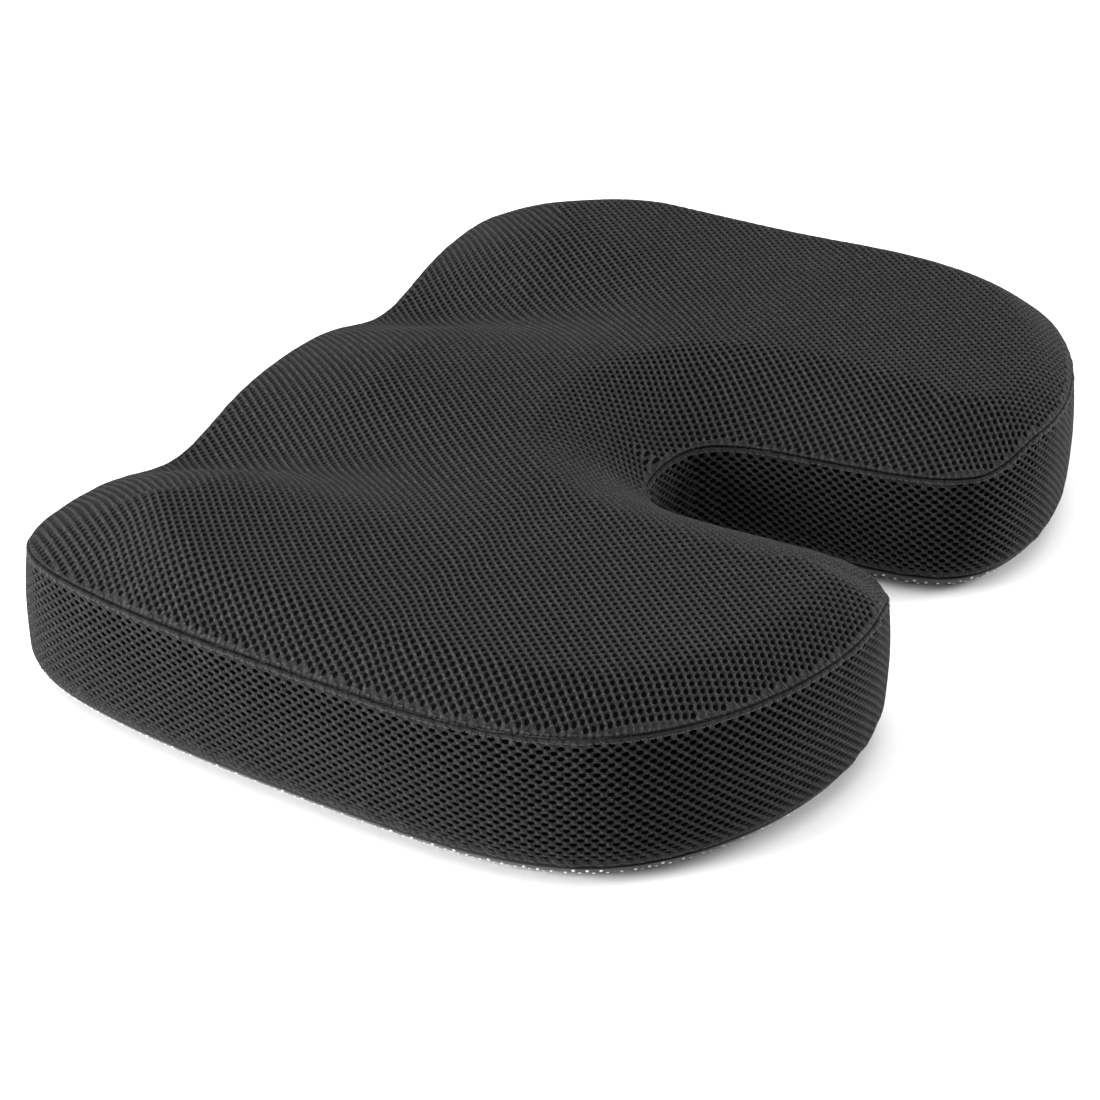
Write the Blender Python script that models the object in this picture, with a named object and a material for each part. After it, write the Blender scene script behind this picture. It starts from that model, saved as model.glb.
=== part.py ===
"""Contoured seat cushion: a foam core in a zipped spacer-mesh cover with a non-slip base.

Metres, +Z up, +Y towards the front edge under the thighs. The cushion stands on z = 0, and the
middle of its plan is at x = 0, y = 0. While it is modelled, y = 0 is the straight front face.
The zip runs along X in that face. It is closed with the slider at its +X end.
"""
import math

import bmesh
import bpy
import numpy as np
from mathutils import Matrix, Vector
from mathutils.geometry import delaunay_2d_cdt

# Plan of the cushion at its widest height
WIDTH = 0.448
DEPTH = 0.3155
FRONT_CORNER_INSET = 0.0335
FRONT_CORNER_SETBACK = 0.006
SHOULDER_INSET = 0.0145
SHOULDER_SETBACK = 0.0405
HIP_INSET = 0.0145
HIP_SETBACK = 0.049
BACK_CORNER_X = 0.133
BACK_CORNER_SETBACK = 0.002
BACK_LOBE_X = 0.080
CUTOUT_DEPTH = 0.1305
CUTOUT_MOUTH_WIDTH = 0.0845
CUTOUT_LIP = 0.023
CUTOUT_END_WIDTH = 0.0505
CUTOUT_END_ROUND = 0.0075

# Heights
SEAM_HEIGHT = 0.060
SEAM_INSET = 0.001
SEAM_GROOVE_DIP = 0.0125
SEAM_BACK_RISE = 0.003
CUTOUT_SEAM_DROP = 0.0085
BASE_SEAM_HEIGHT = 0.007
BASE_INSET = 0.0115
BASE_ROUNDNESS = 1.6
LEAN_POWER = 1.8

# Crown of the top: how high it rises, how far in from the seam, and along which curve
CROWN_HEIGHT = 0.077
CROWN_BACK_DROP = 0.002
THIGH_LOBE_RISE = 0.008
THIGH_LOBE_WIDTH = 0.060
CROWN_REACH = 0.023
CROWN_REACH_FRONT = 0.040
CROWN_REACH_CUTOUT = 0.027
CROWN_POWER = 1.44

# Thigh grooves in the front of the top
GROOVE_X = 0.083
GROOVE_WIDTH = 0.039
GROOVE_DEPTH = 0.026
GROOVE_LENGTH = 0.170

# How far the shape of the front, the back and the cutout's edge carries into the rest
FRONT_REACH_LENGTH = 0.090
BACK_START = 0.190
BACK_LENGTH = 0.110
CUTOUT_MARGIN = 0.006
CUTOUT_FADE = 0.043

# Cover and foam
COVER_THICKNESS = 0.003
BASE_THICKNESS = 0.002
SEAM_GAP = 0.0006
FOAM_CLEARANCE = 0.0005
RUNNING_CLEARANCE = 0.0003

# Zip in the front face
ZIP_LENGTH = 0.260
ZIP_END_MARGIN = 0.020
ZIP_HEIGHT = 0.026
ZIP_WINDOW = 0.012
TAPE_THICKNESS = 0.0008
TAPE_HIDDEN_WIDTH = 0.003
TAPE_HIDDEN_LENGTH = 0.006
COIL_WIDTH = 0.0024
COIL_THICKNESS = 0.0022
COIL_SPLIT = 0.0014
STOP_LENGTH = 0.003

# Zip slider and its pull
SLIDER_LENGTH = 0.009
SLIDER_PLATE = 0.0011
SLIDER_RAIL = 0.0010
BRIDGE_WIDTH = 0.0018
BRIDGE_SPAN = 0.0064
BRIDGE_BAR = 0.0011
PULL_BAR_RADIUS = 0.0007
PULL_WIDTH = 0.0070
PULL_LENGTH = 0.0240
PULL_THICKNESS = 0.0012
PULL_EYE_LENGTH = 0.0052
PULL_ARM = 0.0016
PULL_CORNER = 0.0026

# How finely the surfaces are divided
COLUMNS_PER_SPAN = 5
ZIP_COLUMNS = 14
CROWN_GRID = 0.020
BASE_RING_HEIGHTS = (0, 0.0015, 0.004)
TUCK_RING_HEIGHT = 0.011
LEAN_SHARES = (0.35, 0.7)
CROWN_RING_STEPS = (0.004, 0.010)

# Worked out from the sizes above
SIDE_X = WIDTH / 2
FRONT_STRAIGHT = ZIP_LENGTH + 2 * ZIP_END_MARGIN
FLAT_LOW = ZIP_HEIGHT - ZIP_WINDOW / 2 - TAPE_HIDDEN_WIDTH
FLAT_HIGH = ZIP_HEIGHT + ZIP_WINDOW / 2 + TAPE_HIDDEN_WIDTH
TAPE_FRONT = -(COVER_THICKNESS + RUNNING_CLEARANCE)
TAPE_MIDDLE = TAPE_FRONT - TAPE_THICKNESS / 2
COIL_INNER = COIL_SPLIT / 2
COIL_OUTER = COIL_INNER + COIL_WIDTH
TAPE_EDGE = COIL_OUTER + RUNNING_CLEARANCE
COIL_FRONT = TAPE_MIDDLE + COIL_THICKNESS / 2
COIL_BACK = TAPE_MIDDLE - COIL_THICKNESS / 2
PLATE_FRONT = COIL_FRONT + RUNNING_CLEARANCE + SLIDER_PLATE
PLATE_BACK = COIL_BACK - RUNNING_CLEARANCE - SLIDER_PLATE
RAIL_INNER = COIL_OUTER + RUNNING_CLEARANCE
SLIDER_HALF_WIDTH = RAIL_INNER + SLIDER_RAIL
PULL_AXIS_Y = RUNNING_CLEARANCE + PULL_THICKNESS / 2
BRIDGE_FRONT = PULL_AXIS_Y + PULL_BAR_RADIUS + RUNNING_CLEARANCE + BRIDGE_BAR
FOAM_FRONT = PLATE_BACK - RUNNING_CLEARANCE
SLIDER_X = ZIP_LENGTH / 2 - STOP_LENGTH - RUNNING_CLEARANCE - SLIDER_LENGTH / 2


def clear_scene():
    for old in list(bpy.data.objects):
        bpy.data.objects.remove(old)


def material(name, colour, roughness, metallic=0.0):
    made = bpy.data.materials.new(name)
    made.use_nodes = True
    shader = made.node_tree.nodes["Principled BSDF"]
    shader.inputs["Base Color"].default_value = (*colour, 1.0)
    shader.inputs["Roughness"].default_value = roughness
    shader.inputs["Metallic"].default_value = metallic
    return made


def add_object(name, mesh_data, finish, parent, location=(0, 0, 0)):
    """The mesh as one named object; its points are measured from location."""
    mesh_data.normal_update()
    mesh = bpy.data.meshes.new(name)
    mesh_data.to_mesh(mesh)
    mesh_data.free()
    mesh.shade_smooth()
    mesh.set_sharp_from_angle(angle=math.radians(40))
    mesh.materials.append(finish)
    made = bpy.data.objects.new(name, mesh)
    bpy.context.scene.collection.objects.link(made)
    made.parent = parent
    made.location = location
    return made


# ---------------------------------------------------------------- plan outline

def half_outline():
    """Points of the right half, from the end of the straight front round to the cutout's middle."""
    return np.array([
        (FRONT_STRAIGHT / 2, 0),
        (SIDE_X - FRONT_CORNER_INSET, -FRONT_CORNER_SETBACK),
        (SIDE_X - SHOULDER_INSET, -SHOULDER_SETBACK),
        (SIDE_X, -DEPTH / 2),
        (SIDE_X - HIP_INSET, -DEPTH + HIP_SETBACK),
        (BACK_CORNER_X, -DEPTH + BACK_CORNER_SETBACK),
        (BACK_LOBE_X, -DEPTH),
        (CUTOUT_MOUTH_WIDTH / 2, -DEPTH + CUTOUT_LIP),
        (CUTOUT_END_WIDTH / 2, -DEPTH + CUTOUT_DEPTH - CUTOUT_END_ROUND),
        (0, -DEPTH + CUTOUT_DEPTH),
    ])


def smooth_curve(points, start_slope, end_slope, steps):
    """A clamped cubic spline through the points, as a dense polyline.

    The slopes are directions along the curve at its two ends.
    """
    span = np.linalg.norm(np.diff(points, axis=0), axis=1) ** 0.75
    chord = np.diff(points, axis=0) / span[:, None]
    count = len(points)
    system = np.zeros((count, count))
    right = np.zeros((count, 2))
    system[0, 0] = system[-1, -1] = 1
    right[0] = np.array(start_slope) * np.linalg.norm(chord[0])
    right[-1] = np.array(end_slope) * np.linalg.norm(chord[-1])
    for k in range(1, count - 1):
        before, after = span[k - 1], span[k]
        system[k, k - 1:k + 2] = after, 2 * (before + after), before
        right[k] = 3 * (after * chord[k - 1] + before * chord[k])
    slope = np.linalg.solve(system, right)
    curve = []
    for k in range(count - 1):
        for t in np.linspace(0, 1, steps, endpoint=False):
            rise = t * t * (3 - 2 * t)
            leave = t * (1 - t) ** 2 * span[k]
            arrive = t * t * (t - 1) * span[k]
            curve.append(points[k] * (1 - rise) + points[k + 1] * rise
                         + slope[k] * leave + slope[k + 1] * arrive)
    curve.append(points[-1])
    return np.array(curve)


def plan_columns():
    """(points, outward normals) of the closed outline, clockwise from above.

    The first ZIP_COLUMNS + 1 points span the zip and the others the rest of the loop. A seam's
    gap is left between the two stretches.
    """
    end = ZIP_LENGTH / 2
    right_half = smooth_curve(half_outline(), (1, 0), (-1, 0), COLUMNS_PER_SPAN)
    left_half = right_half[-2::-1] * (-1, 1)
    across = np.linspace(-end + SEAM_GAP / 2, end - SEAM_GAP / 2, ZIP_COLUMNS + 1)
    zip_stretch = np.stack([across, np.zeros_like(across)], axis=1)
    gap_ends = (end + SEAM_GAP / 2, 0), (-end - SEAM_GAP / 2, 0)
    points = np.vstack([zip_stretch, gap_ends[:1], right_half, left_half, gap_ends[1:]])
    along = np.roll(points, -1, axis=0) - np.roll(points, 1, axis=0)
    along /= np.linalg.norm(along, axis=1)[:, None]
    return points, np.stack([-along[:, 1], along[:, 0]], axis=1)


# ---------------------------------------------------------------- heights

def ease(low, high, value):
    t = np.clip((value - low) / (high - low), 0, 1)
    return t * t * (3 - 2 * t)


def front_weight(y):
    """0 at the back of the thigh grooves, 1 at the front face."""
    return ease(-GROOVE_LENGTH, 0, y)


def groove_weight(x, y):
    """1 in the middle of a thigh groove at the front face, fading backwards and sideways."""
    return front_weight(y) * np.exp(-((abs(x) - GROOVE_X) / GROOVE_WIDTH) ** 2)


def cutout_weight(x, y):
    """1 along the tailbone cutout, 0 away from it."""
    mouth = CUTOUT_MOUTH_WIDTH / 2
    inner_end = DEPTH - CUTOUT_DEPTH
    across = 1 - ease(mouth + CUTOUT_MARGIN, mouth + CUTOUT_FADE, abs(x))
    return across * ease(inner_end - CUTOUT_FADE, inner_end, -y)


def back_weight(y):
    return ease(BACK_START, BACK_START + BACK_LENGTH, -y)


def seam_height(x, y):
    dip = SEAM_GROOVE_DIP * groove_weight(x, y) + CUTOUT_SEAM_DROP * cutout_weight(x, y)
    return SEAM_HEIGHT + SEAM_BACK_RISE * back_weight(y) - dip


def crown_height(x, y):
    lobe = THIGH_LOBE_RISE * front_weight(y) * ease(GROOVE_X, GROOVE_X + THIGH_LOBE_WIDTH, abs(x))
    return CROWN_HEIGHT + lobe - GROOVE_DEPTH * groove_weight(x, y) - CROWN_BACK_DROP * back_weight(y)


def crown_reach(x, y):
    front = CROWN_REACH_FRONT * ease(-FRONT_REACH_LENGTH, 0, y)
    return CROWN_REACH + front + CROWN_REACH_CUTOUT * cutout_weight(x, y)


def base_inset(z):
    """How far the wall is tucked in below its flat band."""
    left = ((FLAT_LOW - z) / FLAT_LOW) ** BASE_ROUNDNESS
    return BASE_INSET * (1 - (1 - left) ** (1 / BASE_ROUNDNESS))


# ---------------------------------------------------------------- the cushion's skin

class Skin:
    """The cushion's outer skin as one closed mesh of rings, from the underside up to the crown.

    rows holds the number of each ring that a panel starts or ends at. faces holds the wall's
    faces by ring and column, and floor and crown the faces that close it below and above.
    """

    def __init__(self):
        self.plan, self.normals = plan_columns()
        self.mesh = bmesh.new()
        self.rings = []
        self.rows = {}
        self.faces = {}
        self.add_wall_rings()
        self.add_crown_rings()
        self.join_rings()
        self.floor = [self.mesh.faces.new(self.rings[0])]
        self.crown = self.fill_crown()
        self.outward = self.outward_directions()

    def outward_directions(self):
        """Each vertex's outward direction, one and the same on both sides of a seam.

        It is lengthened at a bend, so that a sheet keeps its thickness there.
        """
        self.mesh.normal_update()
        outward = {v: v.normal * v.calc_shell_factor() for v in self.mesh.verts}
        for name in ("base_end", "side_end"):
            row = self.rows[name]
            for below, above in zip(self.rings[row], self.rings[row + 1]):
                gap_faces = set(below.link_faces) & set(above.link_faces)
                lower = sum((f.normal for f in set(below.link_faces) - gap_faces), Vector())
                upper = sum((f.normal for f in set(above.link_faces) - gap_faces), Vector())
                shared = (lower.normalized() + upper.normalized()).normalized()
                outward[below] = outward[above] = shared / shared.dot(lower.normalized())
        return outward

    def add_ring(self, inset, z, name=None):
        flat = self.plan - self.normals * inset
        heights = np.broadcast_to(z, len(flat))
        self.rings.append([self.mesh.verts.new((*point, height)) for point, height in zip(flat, heights)])
        if name:
            self.rows[name] = len(self.rings) - 1

    def add_wall_rings(self):
        seam = seam_height(self.plan[:, 0], self.plan[:, 1])
        for z in BASE_RING_HEIGHTS:
            self.add_ring(base_inset(z), z)
        for side, name in ((-1, "base_end"), (1, "side_start")):
            z = BASE_SEAM_HEIGHT + side * SEAM_GAP / 2
            self.add_ring(base_inset(z), z, name)
        self.add_ring(base_inset(TUCK_RING_HEIGHT), TUCK_RING_HEIGHT)
        self.add_ring(0, FLAT_LOW, "flat_low")
        self.add_ring(0, ZIP_HEIGHT - ZIP_WINDOW / 2, "window_low")
        self.add_ring(0, ZIP_HEIGHT + ZIP_WINDOW / 2, "window_high")
        self.add_ring(0, FLAT_HIGH, "flat_high")
        for share in LEAN_SHARES:
            self.add_ring(SEAM_INSET * share ** LEAN_POWER, FLAT_HIGH + (seam - FLAT_HIGH) * share)
        self.add_ring(SEAM_INSET, seam - SEAM_GAP / 2, "side_end")
        self.add_ring(SEAM_INSET, seam + SEAM_GAP / 2, "top_start")

    def add_crown_rings(self):
        for step in CROWN_RING_STEPS:
            flat = self.plan - self.normals * (SEAM_INSET + step)
            self.add_ring(SEAM_INSET + step, [self.top_height(point) for point in flat])

    def top_height(self, point):
        """Height of the top over a point of the plan, rising with its distance from the seam."""
        distance = np.linalg.norm(self.plan - point, axis=1)
        nearest = self.plan[distance.argmin()]
        seam = seam_height(*nearest) + SEAM_GAP / 2
        share = min(1, max(0, self.edge_distance(point) - SEAM_INSET) / crown_reach(*nearest))
        return seam + (crown_height(*point) - seam) * (1 - (1 - share) ** CROWN_POWER)

    def edge_distance(self, point):
        start = self.plan
        run = np.roll(start, -1, axis=0) - start
        share = ((point - start) * run).sum(axis=1) / (run ** 2).sum(axis=1)
        foot = start + np.clip(share, 0, 1)[:, None] * run
        return np.linalg.norm(foot - point, axis=1).min()

    def join_rings(self):
        count = len(self.plan)
        for row, (low, high) in enumerate(zip(self.rings, self.rings[1:])):
            for k in range(count):
                n = (k + 1) % count
                self.faces[row, k] = self.mesh.faces.new((low[k], high[k], high[n], low[n]))

    def fill_crown(self):
        """Triangles over a grid of points inside the last ring."""
        loop = self.rings[-1]
        border = [vertex.co.xy for vertex in loop]
        room = SEAM_INSET + CROWN_RING_STEPS[-1] + CROWN_GRID / 2
        inner = [Vector(point) for point in self.grid_points() if self.is_inside(point, room)]
        corners, _, triangles, sources, _, _ = delaunay_2d_cdt(
            border + inner, [], [list(range(len(loop)))], 1, 1e-6)
        vertices = []
        for corner, source in zip(corners, sources):
            if source[0] < len(loop):
                vertices.append(loop[source[0]])
            else:
                height = self.top_height(np.array(corner))
                vertices.append(self.mesh.verts.new((*corner, height)))
        return [self.mesh.faces.new([vertices[k] for k in triangle]) for triangle in triangles]

    def grid_points(self):
        low, high = self.plan.min(axis=0), self.plan.max(axis=0)
        columns = math.ceil(high[0] / CROWN_GRID)
        rows = math.ceil((high[1] - low[1]) / CROWN_GRID)
        for row in range(rows + 1):
            stagger = 0.5 * (row % 2)
            for column in range(-columns, columns + 1):
                yield (column + stagger) * CROWN_GRID, low[1] + row * CROWN_GRID

    def is_inside(self, point, room):
        """Whether a point lies inside the outline and at least room away from it."""
        x, y = point
        start, end = self.plan, np.roll(self.plan, -1, axis=0)
        crosses = (start[:, 1] > y) != (end[:, 1] > y)
        rise = np.where(crosses, end[:, 1] - start[:, 1], 1)
        at = start[:, 0] + (y - start[:, 1]) / rise * (end[:, 0] - start[:, 0])
        return bool((crosses & (at > x)).sum() % 2) and self.edge_distance(point) > room

    def between(self, first, last, columns):
        """Wall faces from the ring named first up to the one named last, over some columns."""
        low = self.rows.get(first, 0)
        high = self.rows.get(last, len(self.rings) - 1)
        return [self.faces[row, k] for row in range(low, high) for k in columns]


def sheet(skin, patch, thickness):
    """A closed sheet: a patch of the skin, its copy moved in by the thickness, and a rim."""
    made = bmesh.new()
    corners = {vertex for face in patch for vertex in face.verts}
    corners = sorted(corners, key=lambda vertex: tuple(vertex.co))
    outer = {v: made.verts.new(v.co) for v in corners}
    inner = {v: made.verts.new(v.co - skin.outward[v] * thickness) for v in corners}
    for face in patch:
        first, *others = face.verts
        made.faces.new([outer[v] for v in face.verts])
        # Starting the turned face at the same corner splits it along the same diagonal
        made.faces.new([inner[v] for v in (first, *reversed(others))])
    kept = set(patch)
    for face in patch:
        for loop in face.loops:
            other = loop.link_loop_radial_next.face
            if other not in kept:
                a, b = loop.vert, loop.link_loop_next.vert
                made.faces.new((outer[b], outer[a], inner[a], inner[b]))
    return made


def foam_block(skin):
    """The foam: the whole skin moved in to clear the cover, with a shallow recess behind the zip."""
    made = bmesh.new()
    thin = {v for ring in skin.rings[:skin.rows["base_end"] + 1] for v in ring}
    behind_zip = {v for ring in skin.rings[skin.rows["flat_low"]:skin.rows["flat_high"] + 1] for v in ring}
    twin = {}
    for vertex in skin.mesh.verts:
        cover = BASE_THICKNESS if vertex in thin else COVER_THICKNESS
        point = vertex.co - skin.outward[vertex] * (cover + FOAM_CLEARANCE)
        if vertex in behind_zip and abs(point.x) < FRONT_STRAIGHT / 2:
            point.y = min(point.y, FOAM_FRONT)
        twin[vertex] = made.verts.new(point)
    for face in skin.mesh.faces:
        made.faces.new([twin[v] for v in face.verts])
    return made


# ---------------------------------------------------------------- the zip

def block(low, high):
    """A box between two corners."""
    made = bmesh.new()
    middle = (Vector(low) + Vector(high)) / 2
    size = Vector(high) - Vector(low)
    scale = Matrix.Diagonal((*size, 1))
    bmesh.ops.create_cube(made, size=1, matrix=Matrix.Translation(middle) @ scale)
    return made


def round_edges(made, axis, radius, segments):
    """Rounds the edges that run along one axis, numbered 0 to 2."""
    across = [k for k in range(3) if k != axis]
    picked = []
    for edge in made.edges:
        run = edge.verts[1].co - edge.verts[0].co
        if all(abs(run[k]) < 1e-7 for k in across):
            picked.append(edge)
    bmesh.ops.bevel(made, geom=picked, offset=radius, segments=segments, affect="EDGES",
                    profile=0.5, clamp_overlap=True)
    return made


def extrusion(outline, direction):
    """A prism on a flat outline, given as 3D points."""
    made = bmesh.new()
    face = made.faces.new([made.verts.new(point) for point in outline])
    grown = bmesh.ops.extrude_face_region(made, geom=[face])
    moved = [item for item in grown["geom"] if isinstance(item, bmesh.types.BMVert)]
    bmesh.ops.translate(made, verts=moved, vec=direction)
    bmesh.ops.recalc_face_normals(made, faces=made.faces)
    return made


def boolean(owner, helper, operation):
    """Joins or cuts owner with a hidden helper object."""
    helper.hide_render = True
    helper.display_type = "WIRE"
    change = owner.modifiers.new(operation.lower(), "BOOLEAN")
    change.operation = operation
    change.solver = "EXACT"
    change.object = helper


def slider_section():
    """Half of the slider's cross-section, from the middle of its front plate to the back one."""
    plate = SLIDER_HALF_WIDTH
    slot = TAPE_THICKNESS / 2 + RUNNING_CLEARANCE
    front_inside = PLATE_FRONT - SLIDER_PLATE
    back_inside = PLATE_BACK + SLIDER_PLATE
    post = COIL_INNER - RUNNING_CLEARANCE
    return [
        (PLATE_FRONT, 0), (PLATE_FRONT, plate), (TAPE_MIDDLE + slot, plate),
        (TAPE_MIDDLE + slot, RAIL_INNER), (front_inside, RAIL_INNER), (front_inside, post),
        (back_inside, post), (back_inside, RAIL_INNER), (TAPE_MIDDLE - slot, RAIL_INNER),
        (TAPE_MIDDLE - slot, plate), (PLATE_BACK, plate), (PLATE_BACK, 0),
    ]


def make_slider(parent, finish):
    """The slider, its length along X, with a bridge on its front plate."""
    half = slider_section()
    section = half[1:-1] + [(y, -z) for y, z in half[-2:0:-1]]
    start = -SLIDER_LENGTH / 2
    body = extrusion([(start, y, z) for y, z in section], (SLIDER_LENGTH, 0, 0))
    place = (SLIDER_X, 0, ZIP_HEIGHT)
    slider = add_object("zip_slider", body, finish, parent, place)
    span, bar = BRIDGE_SPAN / 2, BRIDGE_BAR
    foot = PLATE_FRONT - SLIDER_PLATE / 2
    arch = [(-span, foot), (-span, BRIDGE_FRONT), (span, BRIDGE_FRONT), (span, foot),
            (span - bar, foot), (span - bar, BRIDGE_FRONT - bar),
            (bar - span, BRIDGE_FRONT - bar), (bar - span, foot)]
    bridge = extrusion([(x, y, -BRIDGE_WIDTH / 2) for x, y in arch], (0, 0, BRIDGE_WIDTH))
    boolean(slider, add_object("bridge_shape", bridge, finish, parent, place), "UNION")
    return slider


def make_pull(slider, finish):
    """The pull, lying along the zip towards -X, with its cross bar under the slider's bridge."""
    half, thick = PULL_WIDTH / 2, PULL_THICKNESS / 2
    tab = block((-PULL_LENGTH, -thick, -half), (PULL_BAR_RADIUS, thick, half))
    round_edges(tab, 1, PULL_CORNER, 4)
    place = (0, PULL_AXIS_Y, 0)
    pull = add_object("zip_pull", tab, finish, slider, place)
    arm = half - PULL_ARM
    eye = block((-PULL_EYE_LENGTH, -PULL_THICKNESS, -arm), (PULL_THICKNESS, PULL_THICKNESS, arm))
    boolean(pull, add_object("eye_shape", eye, finish, slider, place), "DIFFERENCE")
    bar = bmesh.new()
    bmesh.ops.create_cone(bar, cap_ends=True, segments=16, radius1=PULL_BAR_RADIUS,
                          radius2=PULL_BAR_RADIUS, depth=2 * (arm + PULL_ARM / 2))
    boolean(pull, add_object("bar_shape", bar, finish, slider, place), "UNION")
    return pull


def make_zip(parent, tape_finish, coil_finish, metal_finish):
    window_half = ZIP_WINDOW / 2
    tape_end = ZIP_LENGTH / 2 + TAPE_HIDDEN_LENGTH
    coil_end = ZIP_LENGTH / 2 - STOP_LENGTH - RUNNING_CLEARANCE
    for side, name in ((1, "upper"), (-1, "lower")):
        near, far = side * TAPE_EDGE, side * (window_half + TAPE_HIDDEN_WIDTH)
        tape = block((-tape_end, TAPE_FRONT - TAPE_THICKNESS, ZIP_HEIGHT + min(near, far)),
                     (tape_end, TAPE_FRONT, ZIP_HEIGHT + max(near, far)))
        add_object(f"zip_tape_{name}", tape, tape_finish, parent)
        near, far = side * COIL_INNER, side * COIL_OUTER
        coil = block((-coil_end, COIL_BACK, ZIP_HEIGHT + min(near, far)),
                     (coil_end, COIL_FRONT, ZIP_HEIGHT + max(near, far)))
        add_object(f"zip_coil_{name}", coil, coil_finish, parent)
    for side, name in ((1, "closed"), (-1, "open")):
        ends = sorted((side * (ZIP_LENGTH / 2 - STOP_LENGTH), side * ZIP_LENGTH / 2))
        stop = block((ends[0], COIL_BACK, ZIP_HEIGHT - COIL_OUTER),
                     (ends[1], COIL_FRONT, ZIP_HEIGHT + COIL_OUTER))
        add_object(f"zip_stop_{name}", stop, metal_finish, parent)
    slider = make_slider(parent, metal_finish)
    make_pull(slider, metal_finish)


# ---------------------------------------------------------------- the whole cushion

def make_cover(skin, parent, mesh_finish, base_finish):
    everywhere = range(len(skin.plan))
    zip_columns = range(ZIP_COLUMNS)
    rest_columns = range(ZIP_COLUMNS + 1, len(skin.plan) - 1)
    patches = {
        "top_panel": skin.between("top_start", None, everywhere) + skin.crown,
        "side_band": skin.between("side_start", "side_end", rest_columns),
        "zip_band_upper": skin.between("window_high", "side_end", zip_columns),
        "zip_band_lower": skin.between("side_start", "window_low", zip_columns),
    }
    for name, patch in patches.items():
        add_object(name, sheet(skin, patch, COVER_THICKNESS), mesh_finish, parent)
    base = skin.floor + skin.between(None, "base_end", everywhere)
    add_object("base_panel", sheet(skin, base, BASE_THICKNESS), base_finish, parent)


def main():
    clear_scene()
    skin = Skin()
    front = max(skin.plan[:, 1].max(), BRIDGE_FRONT)
    cushion = bpy.data.objects.new("cushion", None)
    bpy.context.scene.collection.objects.link(cushion)
    cushion.location.y = -(front + skin.plan[:, 1].min()) / 2
    mesh_finish = material("spacer_mesh", (0.020, 0.020, 0.021), 0.85)
    base_finish = material("grip_fabric", (0.028, 0.028, 0.029), 0.80)
    foam_finish = material("memory_foam", (0.62, 0.60, 0.52), 0.90)
    tape_finish = material("zip_tape", (0.015, 0.015, 0.016), 0.80)
    coil_finish = material("zip_coil", (0.022, 0.022, 0.023), 0.45)
    metal_finish = material("zip_metal", (0.060, 0.060, 0.063), 0.35, 0.9)
    add_object("foam_core", foam_block(skin), foam_finish, cushion)
    make_cover(skin, cushion, mesh_finish, base_finish)
    make_zip(cushion, tape_finish, coil_finish, metal_finish)
    skin.mesh.free()


main()
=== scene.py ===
"""Looks of a contoured seat cushion: spacer-mesh cover, non-slip base, zip and foam core.

Metres, +Z up, +Y towards the front edge. While a piece is worked out, y = 0 is the straight
front face; FRONT_Y moves it into the frame.
"""
import math

import bpy
import numpy as np
from mathutils import Matrix, Vector, noise
from mathutils.geometry import delaunay_2d_cdt


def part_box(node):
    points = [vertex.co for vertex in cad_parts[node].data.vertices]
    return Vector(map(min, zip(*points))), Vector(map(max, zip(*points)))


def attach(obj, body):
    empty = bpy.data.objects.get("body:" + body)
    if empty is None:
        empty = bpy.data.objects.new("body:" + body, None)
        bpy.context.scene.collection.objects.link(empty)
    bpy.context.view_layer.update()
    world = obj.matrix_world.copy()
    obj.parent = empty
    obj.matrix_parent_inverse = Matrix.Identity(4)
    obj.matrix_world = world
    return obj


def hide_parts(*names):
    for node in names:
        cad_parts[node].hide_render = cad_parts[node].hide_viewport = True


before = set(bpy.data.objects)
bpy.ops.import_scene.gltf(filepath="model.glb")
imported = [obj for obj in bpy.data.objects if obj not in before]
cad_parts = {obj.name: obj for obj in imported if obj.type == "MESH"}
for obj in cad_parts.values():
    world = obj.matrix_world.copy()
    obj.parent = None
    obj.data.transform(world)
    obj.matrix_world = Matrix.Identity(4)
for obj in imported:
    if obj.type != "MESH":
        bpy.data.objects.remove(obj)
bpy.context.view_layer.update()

bl_info = {
    "name": "Seat cushion looks",
    "version": (1, 0, 0),
    "blender": (4, 5, 0),
    "location": "3D View > Sidebar > Cushion",
    "description": "Builds the visible pieces of a seat cushion around its packed frame",
    "category": "Object",
}

FRONT_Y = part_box("zip_band_lower")[1].y

# Plan of the cushion at its widest height
WIDTH = 0.448
DEPTH = 0.3155
SIDE_X = WIDTH / 2
FRONT_STRAIGHT = 0.300
FRONT_CORNER_INSET = 0.0335
FRONT_CORNER_SETBACK = 0.006
SHOULDER_INSET = 0.0145
SHOULDER_SETBACK = 0.0405
HIP_INSET = 0.0145
HIP_SETBACK = 0.049
BACK_CORNER_X = 0.133
BACK_CORNER_SETBACK = 0.002
BACK_LOBE_X = 0.080
CUTOUT_DEPTH = 0.1305
CUTOUT_MOUTH_WIDTH = 0.0845
CUTOUT_LIP = 0.023
CUTOUT_END_WIDTH = 0.0505
CUTOUT_END_ROUND = 0.0075
INNER_END = DEPTH - CUTOUT_DEPTH

# Heights
SEAM_HEIGHT = 0.060
SEAM_INSET = 0.001
SEAM_GROOVE_DIP = 0.0125
SEAM_BACK_RISE = 0.003
CUTOUT_SEAM_DROP = 0.0085
BASE_SEAM_HEIGHT = 0.007
BASE_INSET = 0.0115
BASE_ROUNDNESS = 1.6
LEAN_POWER = 1.8
FLAT_LOW = 0.017
FLAT_HIGH = 0.035

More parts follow.
